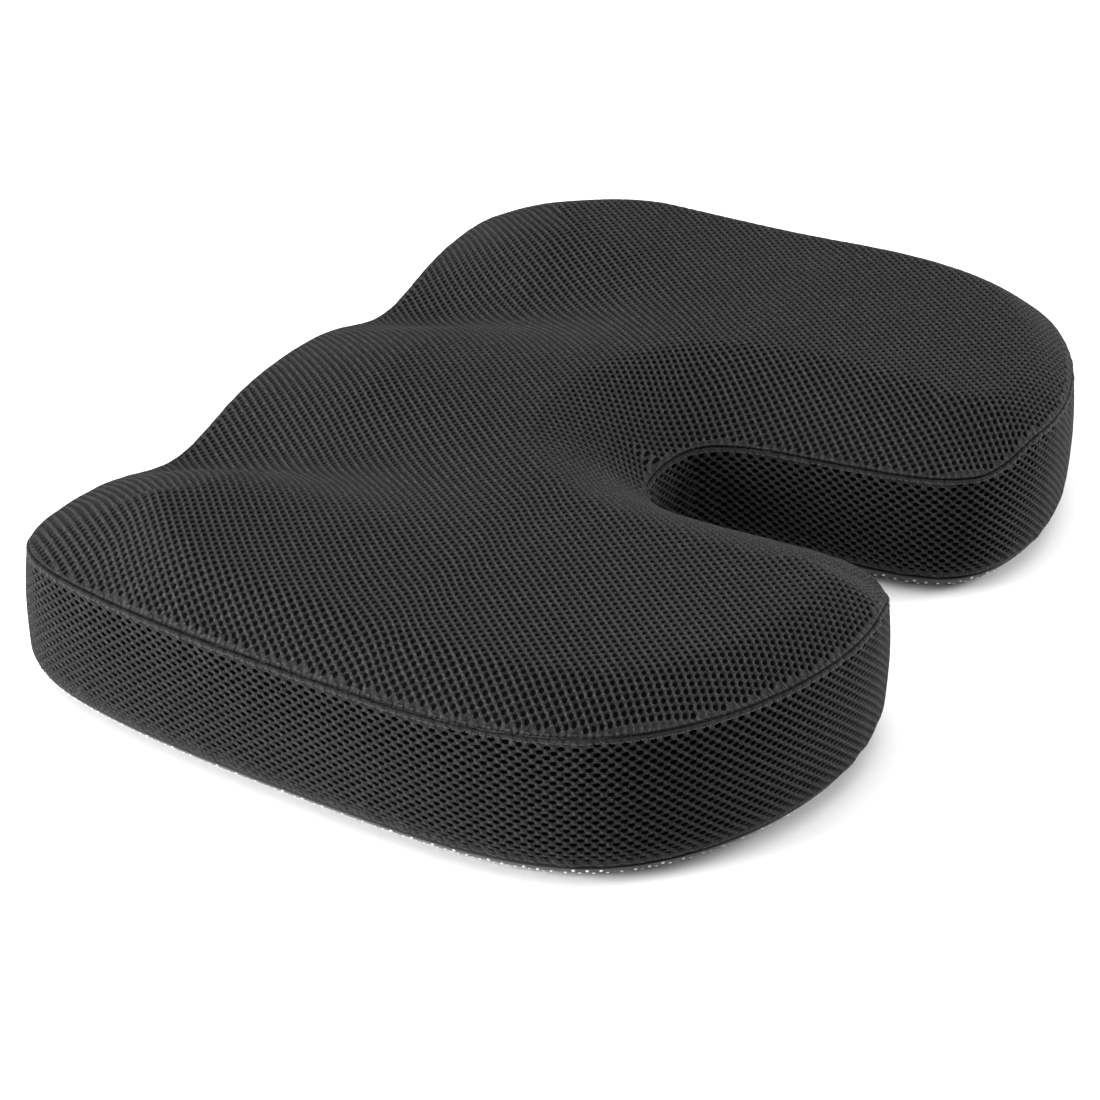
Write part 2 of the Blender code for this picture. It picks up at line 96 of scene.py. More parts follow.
# Crown of the top
CROWN_HEIGHT = 0.077
CROWN_BACK_DROP = 0.002
THIGH_LOBE_RISE = 0.008
THIGH_LOBE_WIDTH = 0.060
CROWN_REACH = 0.023
CROWN_REACH_FRONT = 0.040
CROWN_REACH_CUTOUT = 0.027
CROWN_POWER = 1.44
GROOVE_X = 0.083
GROOVE_WIDTH = 0.039
GROOVE_DEPTH = 0.026
GROOVE_LENGTH = 0.170
FRONT_REACH_LENGTH = 0.090
BACK_START = 0.190
BACK_LENGTH = 0.110
CUTOUT_MARGIN = 0.006
CUTOUT_FADE = 0.043

# Gathers and folds of the cover: shortest and longest wave of each
GATHER_WAVES = (0.009, 0.026)
BASE_GATHER_WAVES = (0.012, 0.030)
BULGE_WAVES = (0.050, 0.200)
WAVE_COUNT = 7
SWELL_HEIGHT = 0.0007
SWELL_SCALE = 14
SWELL_FADE = 0.030
FOLD_HEIGHT = 0.0009
FOLD_LENGTH = 0.0125
FOLD_REACH = 0.016
FLAT_FRONT_END = 0.150
BULGE_START = 0.180

# Zip window in the front face, from the bands that border it
ZIP_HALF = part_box("zip_band_upper")[1].x
WINDOW_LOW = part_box("zip_band_lower")[1].z
WINDOW_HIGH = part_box("zip_band_upper")[0].z


# ---------------------------------------------------------------- sizes and colours

def length(name, default, note):
    """A length that the panel shows, in metres."""
    return bpy.props.FloatProperty(
        name=name, description=note, default=default, min=0, unit="LENGTH", precision=5)


def colour(name, default, note):
    """A colour that the panel shows."""
    return bpy.props.FloatVectorProperty(
        name=name, description=note, default=default, min=0, max=1, size=3, subtype="COLOR")


def number(name, default, note, high=10.0):
    """A plain number that the panel shows."""
    return bpy.props.FloatProperty(name=name, description=note, default=default, min=0, max=high)


class CoverSizes(bpy.types.PropertyGroup):
    """Sizes of the spacer mesh and of the seams that join it."""

    top_pitch_x: length("Top hole pitch across", 0.00417, "Hole spacing of the top panel along X")
    top_pitch_y: length("Top hole pitch along", 0.00454, "Hole spacing of the top panel along Y")
    side_pitch_x: length("Side hole pitch across", 0.0050, "Hole spacing of the boxing along its length")
    side_pitch_z: length("Side hole pitch up", 0.00384, "Hole spacing of the boxing up the wall")
    top_hole_x: number("Top hole width", 0.44, "Width of a hole in the top against its cell", 1)
    top_hole_y: number("Top hole length", 0.62, "Length of a hole in the top against its cell", 1)
    side_hole_x: number("Side hole width", 0.40, "Width of a hole in the boxing against its cell", 1)
    side_hole_z: number("Side hole height", 0.72, "Height of a hole in the boxing against its cell", 1)
    hole_depth: length("Hole depth", 0.0009, "How deep the holes go into the mesh")
    roll: length("Seam roll", 0.0012, "Width over which a panel turns in to its seam")
    groove: length("Seam groove", 0.0020, "Depth of the groove at a seam")
    gap: length("Seam gap", 0.0005, "Gap between two panels at a seam")
    thickness: length("Cover thickness", 0.0024, "Thickness of the spacer mesh")
    gather: length("Gathers", 0.00035, "Height of the gathers beside a seam")
    gather_reach: length("Gather reach", 0.010, "How far the gathers run from a seam")
    bulge: length("Boxing bulge", 0.0010, "How far the boxing swells between its seams")


class FabricColours(bpy.types.PropertyGroup):
    """Colours of the cover, the base, the foam and the zip."""

    net: colour("Net", (0.0150, 0.0150, 0.0156), "Yarn of the spacer mesh")
    # Hole: near-black painted shade for the floor of each hole, standing in for the shade inside the mesh
    hole: colour("Hole", (0.0012, 0.0012, 0.0013), "What shows in a hole of the mesh")
    grip: colour("Grip fabric", (0.016, 0.016, 0.017), "Non-slip fabric of the base")
    dot: colour("Grip dots", (0.72, 0.72, 0.70), "Rubber dots of the base")
    foam: colour("Foam", (0.62, 0.60, 0.55), "Foam core")
    tape: colour("Zip tape", (0.018, 0.018, 0.019), "Woven tape of the zip")
    coil: colour("Zip coil", (0.022, 0.022, 0.024), "Nylon coil of the zip")
    metal: colour("Zip metal", (0.030, 0.030, 0.032), "Lacquer of the slider and the stops")
    bare: colour("Worn metal", (0.42, 0.40, 0.37), "Metal where the lacquer has worn off")


class BaseSizes(bpy.types.PropertyGroup):
    """Sizes of the non-slip base and its rubber dots."""

    lift: length("Dot height", 0.0005, "How far the fabric stands off the ground on its dots")
    dot_pitch: length("Dot pitch", 0.0050, "Spacing of the rubber dots")
    dot_radius: length("Dot radius", 0.00075, "Radius of a rubber dot")
    thickness: length("Base thickness", 0.0016, "Thickness of the non-slip fabric")


class StageSizes(bpy.types.PropertyGroup):
    """Floor, light and camera."""

    key: number("Overhead light", 36.0, "Power of the large soft light above, in watts", 2000)
    left: number("Left light", 43.0, "Power of the light beside the left edge, in watts", 2000)
    right: number("Back light", 24.0, "Power of the light beside the back edge, in watts", 2000)
    world: number("World", 0.48, "Brightness of the surroundings")
    floor: colour("Floor", (0.96, 0.96, 0.96), "Colour of the floor")


# ---------------------------------------------------------------- shapes

def ease(low, high, value):
    """A smooth step from 0 at low to 1 at high."""
    t = np.clip((value - low) / (high - low), 0, 1)
    return t * t * (3 - 2 * t)


def half_outline():
    """Points of the right half, from the end of the straight front round to the cutout's middle."""
    return np.array([
        (FRONT_STRAIGHT / 2, 0),
        (SIDE_X - FRONT_CORNER_INSET, -FRONT_CORNER_SETBACK),
        (SIDE_X - SHOULDER_INSET, -SHOULDER_SETBACK),
        (SIDE_X, -DEPTH / 2),
        (SIDE_X - HIP_INSET, -DEPTH + HIP_SETBACK),
        (BACK_CORNER_X, -DEPTH + BACK_CORNER_SETBACK),
        (BACK_LOBE_X, -DEPTH),
        (CUTOUT_MOUTH_WIDTH / 2, -DEPTH + CUTOUT_LIP),
        (CUTOUT_END_WIDTH / 2, -DEPTH + CUTOUT_DEPTH - CUTOUT_END_ROUND),
        (0, -DEPTH + CUTOUT_DEPTH),
    ])


def smooth_curve(points, start_slope, end_slope, steps):
    """A clamped cubic spline through the points, as a dense polyline."""
    span = np.linalg.norm(np.diff(points, axis=0), axis=1) ** 0.75
    chord = np.diff(points, axis=0) / span[:, None]
    count = len(points)
    system = np.zeros((count, count))
    right = np.zeros((count, 2))
    system[0, 0] = system[-1, -1] = 1
    right[0] = np.array(start_slope) * np.linalg.norm(chord[0])
    right[-1] = np.array(end_slope) * np.linalg.norm(chord[-1])
    for k in range(1, count - 1):
        before, after = span[k - 1], span[k]
        system[k, k - 1:k + 2] = after, 2 * (before + after), before
        right[k] = 3 * (after * chord[k - 1] + before * chord[k])
    slope = np.linalg.solve(system, right)
    curve = []
    for k in range(count - 1):
        for t in np.linspace(0, 1, steps, endpoint=False):
            rise = t * t * (3 - 2 * t)
            leave = t * (1 - t) ** 2 * span[k]
            arrive = t * t * (t - 1) * span[k]
            curve.append(points[k] * (1 - rise) + points[k + 1] * rise
                         + slope[k] * leave + slope[k + 1] * arrive)
    curve.append(points[-1])
    return np.array(curve)


class Plan:
    """The plan outline, clockwise from above, measured from the middle of the front face."""

    step = 0.001
    chunk = 4000

    def __init__(self):
        right = smooth_curve(half_outline(), (1, 0), (-1, 0), 40)
        loop = np.vstack([[(0, 0)], right, right[-2::-1] * (-1, 1), [(0, 0)]])
        run = np.concatenate([[0], np.cumsum(np.linalg.norm(np.diff(loop, axis=0), axis=1))])
        self.length = run[-1]
        self.count = round(self.length / self.step)
        self.spacing = self.length / self.count
        self.stations = np.arange(self.count) * self.spacing
        self.points = np.stack([np.interp(self.stations, run, loop[:, k]) for k in (0, 1)], axis=1)
        along = np.roll(self.points, -1, axis=0) - np.roll(self.points, 1, axis=0)
        self.tangents = along / np.linalg.norm(along, axis=1)[:, None]
        self.normals = np.stack([-self.tangents[:, 1], self.tangents[:, 0]], axis=1)

    def at(self, station):
        """(points, outward normals) at distances along the outline."""
        place = np.mod(station, self.length) / self.spacing
        low = np.floor(place).astype(int) % self.count
        high = (low + 1) % self.count
        share = (place - np.floor(place))[:, None]
        points = self.points[low] * (1 - share) + self.points[high] * share
        normals = self.normals[low] * (1 - share) + self.normals[high] * share
        return points, normals / np.linalg.norm(normals, axis=1)[:, None]

    def nearest(self, places):
        """(station, depth inside the outline) of each place."""
        station = np.empty(len(places))
        depth = np.empty(len(places))
        for start in range(0, len(places), self.chunk):
            part = places[start:start + self.chunk]
            square = ((part[:, None] - self.points[None]) ** 2).sum(axis=2)
            closest = square.argmin(axis=1)
            off = part - self.points[closest]
            station[start:start + self.chunk] = (closest * self.spacing
                                                 + (off * self.tangents[closest]).sum(axis=1))
            side = -(off * self.normals[closest]).sum(axis=1)
            depth[start:start + self.chunk] = np.sign(side) * np.sqrt(square.min(axis=1))
        return station, depth


PLAN = Plan()


def front_weight(y):
    """1 at the front edge, fading to 0 where the thigh grooves end."""
    return ease(-GROOVE_LENGTH, 0, y)


def groove_weight(x, y):
    """1 in the middle of a thigh groove at the front edge, 0 away from it."""
    return front_weight(y) * np.exp(-((abs(x) - GROOVE_X) / GROOVE_WIDTH) ** 2)


def cutout_weight(x, y):
    """1 round the tailbone cutout, 0 away from it."""
    mouth = CUTOUT_MOUTH_WIDTH / 2
    across = 1 - ease(mouth + CUTOUT_MARGIN, mouth + CUTOUT_FADE, abs(x))
    return across * ease(INNER_END - CUTOUT_FADE, INNER_END, -y)


def back_weight(y):
    """1 at the back edge, 0 in front of the back lobes."""
    return ease(BACK_START, BACK_START + BACK_LENGTH, -y)


def seam_height(x, y):
    """Height of the top seam."""
    dip = SEAM_GROOVE_DIP * groove_weight(x, y) + CUTOUT_SEAM_DROP * cutout_weight(x, y)
    return SEAM_HEIGHT + SEAM_BACK_RISE * back_weight(y) - dip


def crown_height(x, y):
    """Height of the top away from its seam."""
    lobe = THIGH_LOBE_RISE * front_weight(y) * ease(GROOVE_X, GROOVE_X + THIGH_LOBE_WIDTH, abs(x))
    return CROWN_HEIGHT + lobe - GROOVE_DEPTH * groove_weight(x, y) - CROWN_BACK_DROP * back_weight(y)


def crown_reach(x, y):
    """How far from the seam the top rises to its full height."""
    front = CROWN_REACH_FRONT * ease(-FRONT_REACH_LENGTH, 0, y)
    return CROWN_REACH + front + CROWN_REACH_CUTOUT * cutout_weight(x, y)


def base_inset(z):
    """How far the wall is tucked in below its flat band."""
    left = np.clip((FLAT_LOW - z) / FLAT_LOW, 0, 1) ** BASE_ROUNDNESS
    return BASE_INSET * (1 - (1 - left) ** (1 / BASE_ROUNDNESS))


def waves(station, low, high, seed):
    """A smooth uneven ripple along the outline, about -1 to 1, of waves low to high long."""
    random = np.random.default_rng(seed)
    total = np.zeros_like(station)
    counts = random.integers(round(PLAN.length / high), round(PLAN.length / low), WAVE_COUNT)
    for count, phase in zip(counts, random.uniform(0, 2 * math.pi, WAVE_COUNT)):
        total += np.sin(2 * math.pi * count * station / PLAN.length + phase)
    return total / (WAVE_COUNT / 2)


def unit(vectors):
    """The vectors, each made one long."""
    return vectors / np.linalg.norm(vectors, axis=1)[:, None]


class TopSurface:
    """The crowned top over the plan, read from a fine grid."""

    step = 0.0015
    edge = 0.008
    flat_x = 0.130
    flat_y = -0.120
    softenings = 4
    searches = 14

    def __init__(self, sizes):
        low = PLAN.points.min(axis=0) - self.edge
        high = PLAN.points.max(axis=0) + self.edge
        low[0] = -math.ceil(-low[0] / self.step) * self.step
        self.low = low
        self.x = np.arange(low[0], high[0] + self.step, self.step)
        self.y = np.arange(low[1], high[1] + self.step, self.step)
        x, y = np.meshgrid(self.x, self.y)
        places = np.stack([x.ravel(), y.ravel()], axis=1)
        station, depth = PLAN.nearest(places)
        edge, _ = PLAN.at(station)
        seam = seam_height(*edge.T)
        share = np.clip((depth - SEAM_INSET) / crown_reach(*edge.T), -0.3, 1)
        rise = 1 - (1 - share) ** CROWN_POWER
        z = seam + (crown_height(*places.T) - seam) * rise
        ripple = waves(station, *GATHER_WAVES, 3) * np.exp(-np.abs(depth) / sizes.gather_reach)
        z -= sizes.gather * (1 + ripple) * np.clip(depth / 0.002, 0, 1)
        z += self.swells(places) * ease(0, SWELL_FADE, depth)
        self.z = self.soften(z.reshape(x.shape))
        self.depth = depth.reshape(x.shape)
        self.slope_y, self.slope_x = np.gradient(self.z, self.step)
        self.across, self.along = self.cloth_lengths()

    def swells(self, places):
        """Shallow uneven swells where the foam presses on the cover."""
        spots = [Vector((x, y, 0.3)) for x, y in places * SWELL_SCALE]
        return SWELL_HEIGHT * np.array([noise.noise(spot) for spot in spots])

    def soften(self, field):
        """The field with its sharp creases rounded off."""
        for _ in range(self.softenings):
            padded = np.pad(field, 1, mode="edge")
            sides = padded[:-2, 1:-1] + padded[2:, 1:-1] + padded[1:-1, :-2] + padded[1:-1, 2:]
            field = 0.5 * field + 0.125 * sides
        return field

    def cloth_lengths(self):
        """Cloth length across and along at each grid point, as the flat panel lies on the form."""
        inside = self.depth > -0.001
        x, y = np.meshgrid(self.x, self.y)
        more_x = np.where(inside, np.sqrt(1 + self.slope_x ** 2) - 1, 0) * self.step
        more_y = np.where(inside, np.sqrt(1 + self.slope_y ** 2) - 1, 0) * self.step
        sum_x = np.cumsum(more_x, axis=1)
        sum_y = np.cumsum(more_y, axis=0)
        middle = sum_x[:, [np.abs(self.x).argmin()]]
        right = sum_x[:, [np.abs(self.x - self.flat_x).argmin()]]
        left = sum_x[:, [np.abs(self.x + self.flat_x).argmin()]]
        lobe = np.where(x > 0, right, left)
        ahead = ease(INNER_END, INNER_END - 0.02, -y)
        start = middle * ahead + lobe * (1 - ahead)
        row = sum_y[[np.abs(self.y - self.flat_y).argmin()], :]
        return x + sum_x - start, y + sum_y - row

    def read(self, field, places):
        """The field's value at each place, between its grid points."""
        column = np.clip((places[:, 0] - self.low[0]) / self.step, 0, len(self.x) - 1.001)
        row = np.clip((places[:, 1] - self.low[1]) / self.step, 0, len(self.y) - 1.001)
        i, j = column.astype(int), row.astype(int)
        s, t = column - i, row - j
        return ((field[j, i] * (1 - s) + field[j, i + 1] * s) * (1 - t)
                + (field[j + 1, i] * (1 - s) + field[j + 1, i + 1] * s) * t)

    def place_of(self, cloth):
        """Plan places of points given by their cloth lengths across and along."""
        places = cloth.copy()
        for _ in range(self.searches):
            places[:, 0] += 0.8 * (cloth[:, 0] - self.read(self.across, places))
            places[:, 1] += 0.8 * (cloth[:, 1] - self.read(self.along, places))
        return places

    def lift(self, places):
        """(points, normals) of the top over plan places."""
        points = np.column_stack([places, self.read(self.z, places)])
        slopes = (self.read(self.slope_x, places), self.read(self.slope_y, places))
        return points, unit(np.column_stack([-slopes[0], -slopes[1], np.ones(len(places))]))


class WallSurface:
    """The boxing between the base seam and the top seam, by station and height."""

    def __init__(self, sizes):
        self.sizes = sizes

    def seam(self, station):
        """Height of the top seam at stations."""
        points, _ = PLAN.at(station)
        return seam_height(*points.T)

    def inset(self, station, z):
        """How far the wall stands inside the plan outline."""
        top = self.seam(station)
        share = np.clip((z - FLAT_HIGH) / (top - FLAT_HIGH), 0, 1)
        lean = SEAM_INSET * share ** LEAN_POWER
        rise = np.clip((z - BASE_SEAM_HEIGHT) / (top - BASE_SEAM_HEIGHT), 0, 1)
        uneven = 1 + 0.3 * waves(station, *BULGE_WAVES, 5)
        from_middle = PLAN.length / 2 - abs(np.mod(station, PLAN.length) - PLAN.length / 2)
        swell = self.sizes.bulge * np.sin(math.pi * rise) * uneven
        swell = swell * ease(FLAT_FRONT_END, BULGE_START, from_middle)
        reach = self.sizes.gather_reach
        near_top = np.exp(-np.clip(top - z, 0, None) / reach)
        near_base = np.exp(-np.clip(z - BASE_SEAM_HEIGHT, 0, None) / reach)
        ripple = waves(station, *GATHER_WAVES, 8) * near_top
        ripple = ripple + waves(station, *BASE_GATHER_WAVES, 9) * near_base
        gathers = self.sizes.gather * ripple
        folds = self.folds(station) * np.sin(math.pi * rise) ** 0.5
        return base_inset(z) + lean - swell + gathers + folds

    def folds(self, station):
        """Upright folds where the boxing is bent tightly round the cutout's inner end."""
        middle = PLAN.length / 2
        corner = CUTOUT_END_WIDTH / 2
        near = np.exp(-((abs(station - middle) - corner) / FOLD_REACH) ** 2)
        return FOLD_HEIGHT * near * np.sin(2 * math.pi * (station - middle) / FOLD_LENGTH)

    def lift(self, places):
        """(points, normals) of the wall at stations and heights."""
        station, z = places.T
        points = self.point(station, z)
        step = 0.0004
        run = self.point(station + step, z) - self.point(station - step, z)
        rise = self.point(station, z + step) - self.point(station, z - step)
        return points, unit(np.cross(rise, run))

    def point(self, station, z):
        """The wall's points at stations and heights."""
        flat, normals = PLAN.at(station)
        flat = flat - normals * self.inset(station, z)[:, None]
        return np.column_stack([flat, z])


# ---------------------------------------------------------------- meshes

def add_piece(name, points, faces, finish, body="cushion", smooth=True):
    """One mesh in the frame; its points are given with y = 0 at the front face."""
    mesh = bpy.data.meshes.new(name)
    placed = np.array(points, dtype=float)
    placed[:, 1] += FRONT_Y
    mesh.from_pydata(placed.tolist(), [], faces)
    mesh.validate()
    if smooth:
        mesh.shade_smooth()
    mesh.materials.append(finish)
    made = bpy.data.objects.new(name, mesh)
    bpy.context.scene.collection.objects.link(made)
    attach(made, body)
    return made


def add_field(piece, name, values):
    """Stores one number, or three, at each vertex for the finishes to read."""
    values = np.asarray(values, dtype=np.float32)
    kind = "FLOAT_VECTOR" if values.ndim == 2 else "FLOAT"
    field = piece.data.attributes.new(name, kind, "POINT")
    field.data.foreach_set("vector" if values.ndim == 2 else "value", values.ravel())


def add_layout(piece, per_vertex, shift):
    """The flat layout that a finish is printed on: a place for each vertex and a shift for each face."""
    mesh = piece.data
    layer = mesh.uv_layers.new(name="OFBake")
    corners = np.empty(len(mesh.loops), dtype=np.int32)
    mesh.loops.foreach_get("vertex_index", corners)
    counts = np.empty(len(mesh.polygons), dtype=np.int32)
    mesh.polygons.foreach_get("loop_total", counts)
    flat = per_vertex[corners] + np.repeat(shift, counts, axis=0)
    flat -= flat.min(axis=0)
    layer.data.foreach_set("uv", (0.005 + 0.99 * flat / flat.max()).astype(np.float32).ravel())


# Corners of a cell of the mesh, in half pitches across and sixths of a pitch along
CELL = ((0, 2), (-1, 1), (-1, -1), (0, -2), (1, -1), (1, 1))


class Net:
    """The six-sided cells of a flat piece of spacer mesh, with a hole in the middle of each.

    hole is the holes' size against their cells, keep says which holes' places are on the piece,
    and turned is set where the faces have to be turned over.
    """

    def __init__(self, sizes, pitch, hole, low, high, keep, turned):
        self.sizes = sizes
        self.pitch = np.array(pitch)
        self.hole = np.array(hole)
        self.half = pitch[0] / 2
        self.sixth = pitch[1] / 6
        self.turned = turned
        centres = self.hole_centres(low, high)
        centres = centres[keep(centres * (self.half, self.sixth))]
        corners = (centres[:, None] + np.array(CELL)[None]).reshape(-1, 2)
        keys, index = np.unique(corners, axis=0, return_inverse=True)
        self.outer = index.reshape(-1, 6)
        self.corner_cloth = keys * (self.half, self.sixth)
        self.centre_cloth = centres * (self.half, self.sixth)
        self.corner_count = len(keys)

    def hole_centres(self, low, high):
        """Places of all the holes between two corners, in half pitches and sixths of a pitch."""
        step = (2 * self.half, 3 * self.sixth)
        columns, rows = (np.arange(math.floor(low[k] / step[k]), math.ceil(high[k] / step[k]) + 1)
                         for k in (0, 1))
        column, row = np.meshgrid(columns, rows)
        return np.stack([(2 * column + row % 2).ravel(), (3 * row).ravel()], axis=1)

    def border(self):
        """The vertices round the cells' ragged edge, in order."""
        starts = self.outer
        ends = np.roll(self.outer, -1, axis=1)
        edges = np.stack([starts.ravel(), ends.ravel()], axis=1)
        known = {tuple(edge) for edge in edges}
        after = {a: b for a, b in edges if (b, a) not in known}
        first = min(after)
        loop = [first]
        while after[loop[-1]] != first:
            loop.append(after[loop[-1]])
        if len(loop) != len(after):
            raise RuntimeError("a mesh panel has more than one edge")
        return np.array(loop)


def ring_faces(rings):
    """Four-sided faces between closed rings of vertex numbers, each ring joined to the next."""
    faces = []
    for first, second in zip(rings, rings[1:]):
        for k in range(len(first)):
            n = (k + 1) % len(first)
            faces.append((first[n], first[k], second[k], second[n]))
    return faces


def fill(loop, numbers, first_new, step, upward):
    """(places of new vertices, triangles) that close a loop of plan places.

    numbers are the loop's own vertices, and new ones are numbered from first_new.
    """
    count = len(loop)
    places = [Vector(place) for place in np.vstack([loop, inside_grid(loop, step)])]
    spots, _, triangles, sources, _, _ = delaunay_2d_cdt(places, [], [list(range(count))], 1, 1e-7)
    new = []
    used = []
    for spot, source in zip(spots, sources):
        if source and source[0] < count:
            used.append(numbers[source[0]])
        else:
            used.append(first_new + len(new))
            new.append(tuple(spot))
    turn = 1 if upward else -1
    faces = [tuple(used[k] for k in triangle)[::turn] for triangle in triangles]
    return np.array(new).reshape(-1, 2), faces


def net_panel(name, finish, net, surface, places, centre, open_hole, snapped, tips, groove_down,
              coarse):
    """Builds a net's closed sheet on a surface, as (piece, cloth places, number of outer faces).

    places are the cells' corners and centre their middles on the surface's own plane, and
    open_hole says which cells have a hole. snapped is the border after it is moved onto the
    panel's edge, tips the seam line beyond it, groove_down the direction into the seam, and
    coarse the spacing of the inner face.
    """
    sizes = net.sizes
    loop = net.border()
    even = centre[:, None] + net.hole * (places[net.outer] - centre[:, None])
    places = places.copy()
    places[loop] = snapped
    pulled = places[net.outer].mean(axis=1)[:, None]
    pulled = pulled + 0.5 * (places[net.outer] - pulled)
    rings = np.where(open_hole[:, None, None], even, pulled)
    ring_places = rings.reshape(-1, 2)
    corner_points, _ = surface.lift(places)
    ring_points, ring_normals = surface.lift(ring_places)
    deep = np.repeat(open_hole, 6)
    ring_points = ring_points - ring_normals * (sizes.hole_depth * deep)[:, None]
    edge_points = corner_points[loop]
    _, edge_normals = surface.lift(snapped)
    bend = 0.5 * edge_points + 0.5 * tips
    bend = bend + groove_down * 0.12 * sizes.groove
    turn = tips + groove_down * 0.45 * sizes.groove
    tip = tips + groove_down * sizes.groove
    inner_edge = edge_points - edge_normals * sizes.thickness

    count = len(loop)
    first_ring = net.corner_count
    first_bend = first_ring + len(ring_points)
    first_turn, first_tip, first_inner = (first_bend + count * k for k in (1, 2, 3))
    faces = []
    for cell, corners in enumerate(net.outer.tolist()):
        ring = [first_ring + 6 * cell + k for k in range(6)]
        for k in range(6):
            n = (k + 1) % 6
            faces.append((corners[k], corners[n], ring[n], ring[k]))
        faces.append(tuple(ring))
    rows = [loop.tolist()] + [list(range(start, start + count))
                              for start in (first_bend, first_turn, first_tip, first_inner)]
    faces += ring_faces(rows)
    inner_places, inner_faces = fill(snapped, rows[-1], first_inner + count, coarse,
                                     signed_area(snapped) < 0)
    faces += inner_faces
    inner_points, inner_normals = surface.lift(inner_places)
    inner_points = inner_points - inner_normals * sizes.thickness
    points = np.vstack([corner_points, ring_points, bend, turn, tip, inner_edge, inner_points])
    if net.turned:
        faces = [face[::-1] for face in faces]
    piece = add_piece(name, points, faces, finish)

    corners = np.zeros(net.corner_count)
    beyond = len(points) - first_bend
    add_field(piece, "hole", np.concatenate([corners, deep, np.zeros(beyond)]))
    # Mask of where the finish paints shade: the closed cells and the seam's turned-in rows
    add_field(piece, "shut", np.concatenate([corners, 1.0 - deep, np.ones(beyond)]))
    cloth = np.vstack([places, ring_places, np.tile(snapped, (4, 1)), inner_places])
    add_field(piece, "cloth", np.column_stack([cloth, np.zeros(len(cloth))]))
    middles = net.centre_cloth[:, None]
    ring_weave = middles + net.hole * (net.corner_cloth[net.outer] - middles)
    edge_weave = np.tile(net.corner_cloth[loop], (4, 1))
    weave = np.vstack([net.corner_cloth, ring_weave.reshape(-1, 2), edge_weave, inner_places]) / net.pitch
    add_field(piece, "weave", np.column_stack([weave, np.zeros(len(weave))]))
    return piece, cloth, 7 * len(net.outer)


def signed_area(loop):
    """A loop's area, positive where it runs anticlockwise."""
    x, y = loop.T
    return 0.5 * (x * np.roll(y, -1) - y * np.roll(x, -1)).sum()


def inside_grid(loop, step):
    """Staggered points inside a closed loop and clear of it."""
    low, high = loop.min(axis=0), loop.max(axis=0)
    rows = np.arange(low[1] + step / 2, high[1], step)
    found = []
    start, end = loop, np.roll(loop, -1, axis=0)
    for number, y in enumerate(rows):
        crosses = (start[:, 1] > y) != (end[:, 1] > y)
        s, e = start[crosses], end[crosses]
        cuts = np.sort(s[:, 0] + (y - s[:, 1]) / (e[:, 1] - s[:, 1]) * (e[:, 0] - s[:, 0]))
        for left, right in zip(cuts[::2], cuts[1::2]):
            across = np.arange(left + step * (0.5 + 0.5 * (number % 2)), right - 0.4 * step, step)
            found += [(x, y) for x in across]
    if not found:
        return np.zeros((0, 2))
    found = np.array(found)
    square = ((found[:, None] - loop[None]) ** 2).sum(axis=2).min(axis=1)
    return found[square > (0.4 * step) ** 2]


# ---------------------------------------------------------------- finishes

class Value:
    """One number that varies over a surface. Arithmetic on it adds Math nodes."""

    def __init__(self, finish, socket):
        self.finish = finish
        self.socket = socket

    def maths(self, operation, first, second=0.0, clamp=False):
        """The result of one Math node."""
        settings = {"operation": operation, "use_clamp": clamp}
        made = self.finish.node("ShaderNodeMath", settings, {0: first, 1: second})
        return Value(self.finish, made.outputs[0])

    def __add__(self, other):
        return self.maths("ADD", self, other)

    def __radd__(self, other):
        return self.maths("ADD", other, self)

    def __sub__(self, other):
        return self.maths("SUBTRACT", self, other)

    def __rsub__(self, other):
        return self.maths("SUBTRACT", other, self)

    def __mul__(self, other):
        return self.maths("MULTIPLY", self, other)

    def __rmul__(self, other):
        return self.maths("MULTIPLY", other, self)

    def clamped(self):
        """The value, kept between 0 and 1."""
        return self.maths("ADD", self, 0.0, clamp=True)


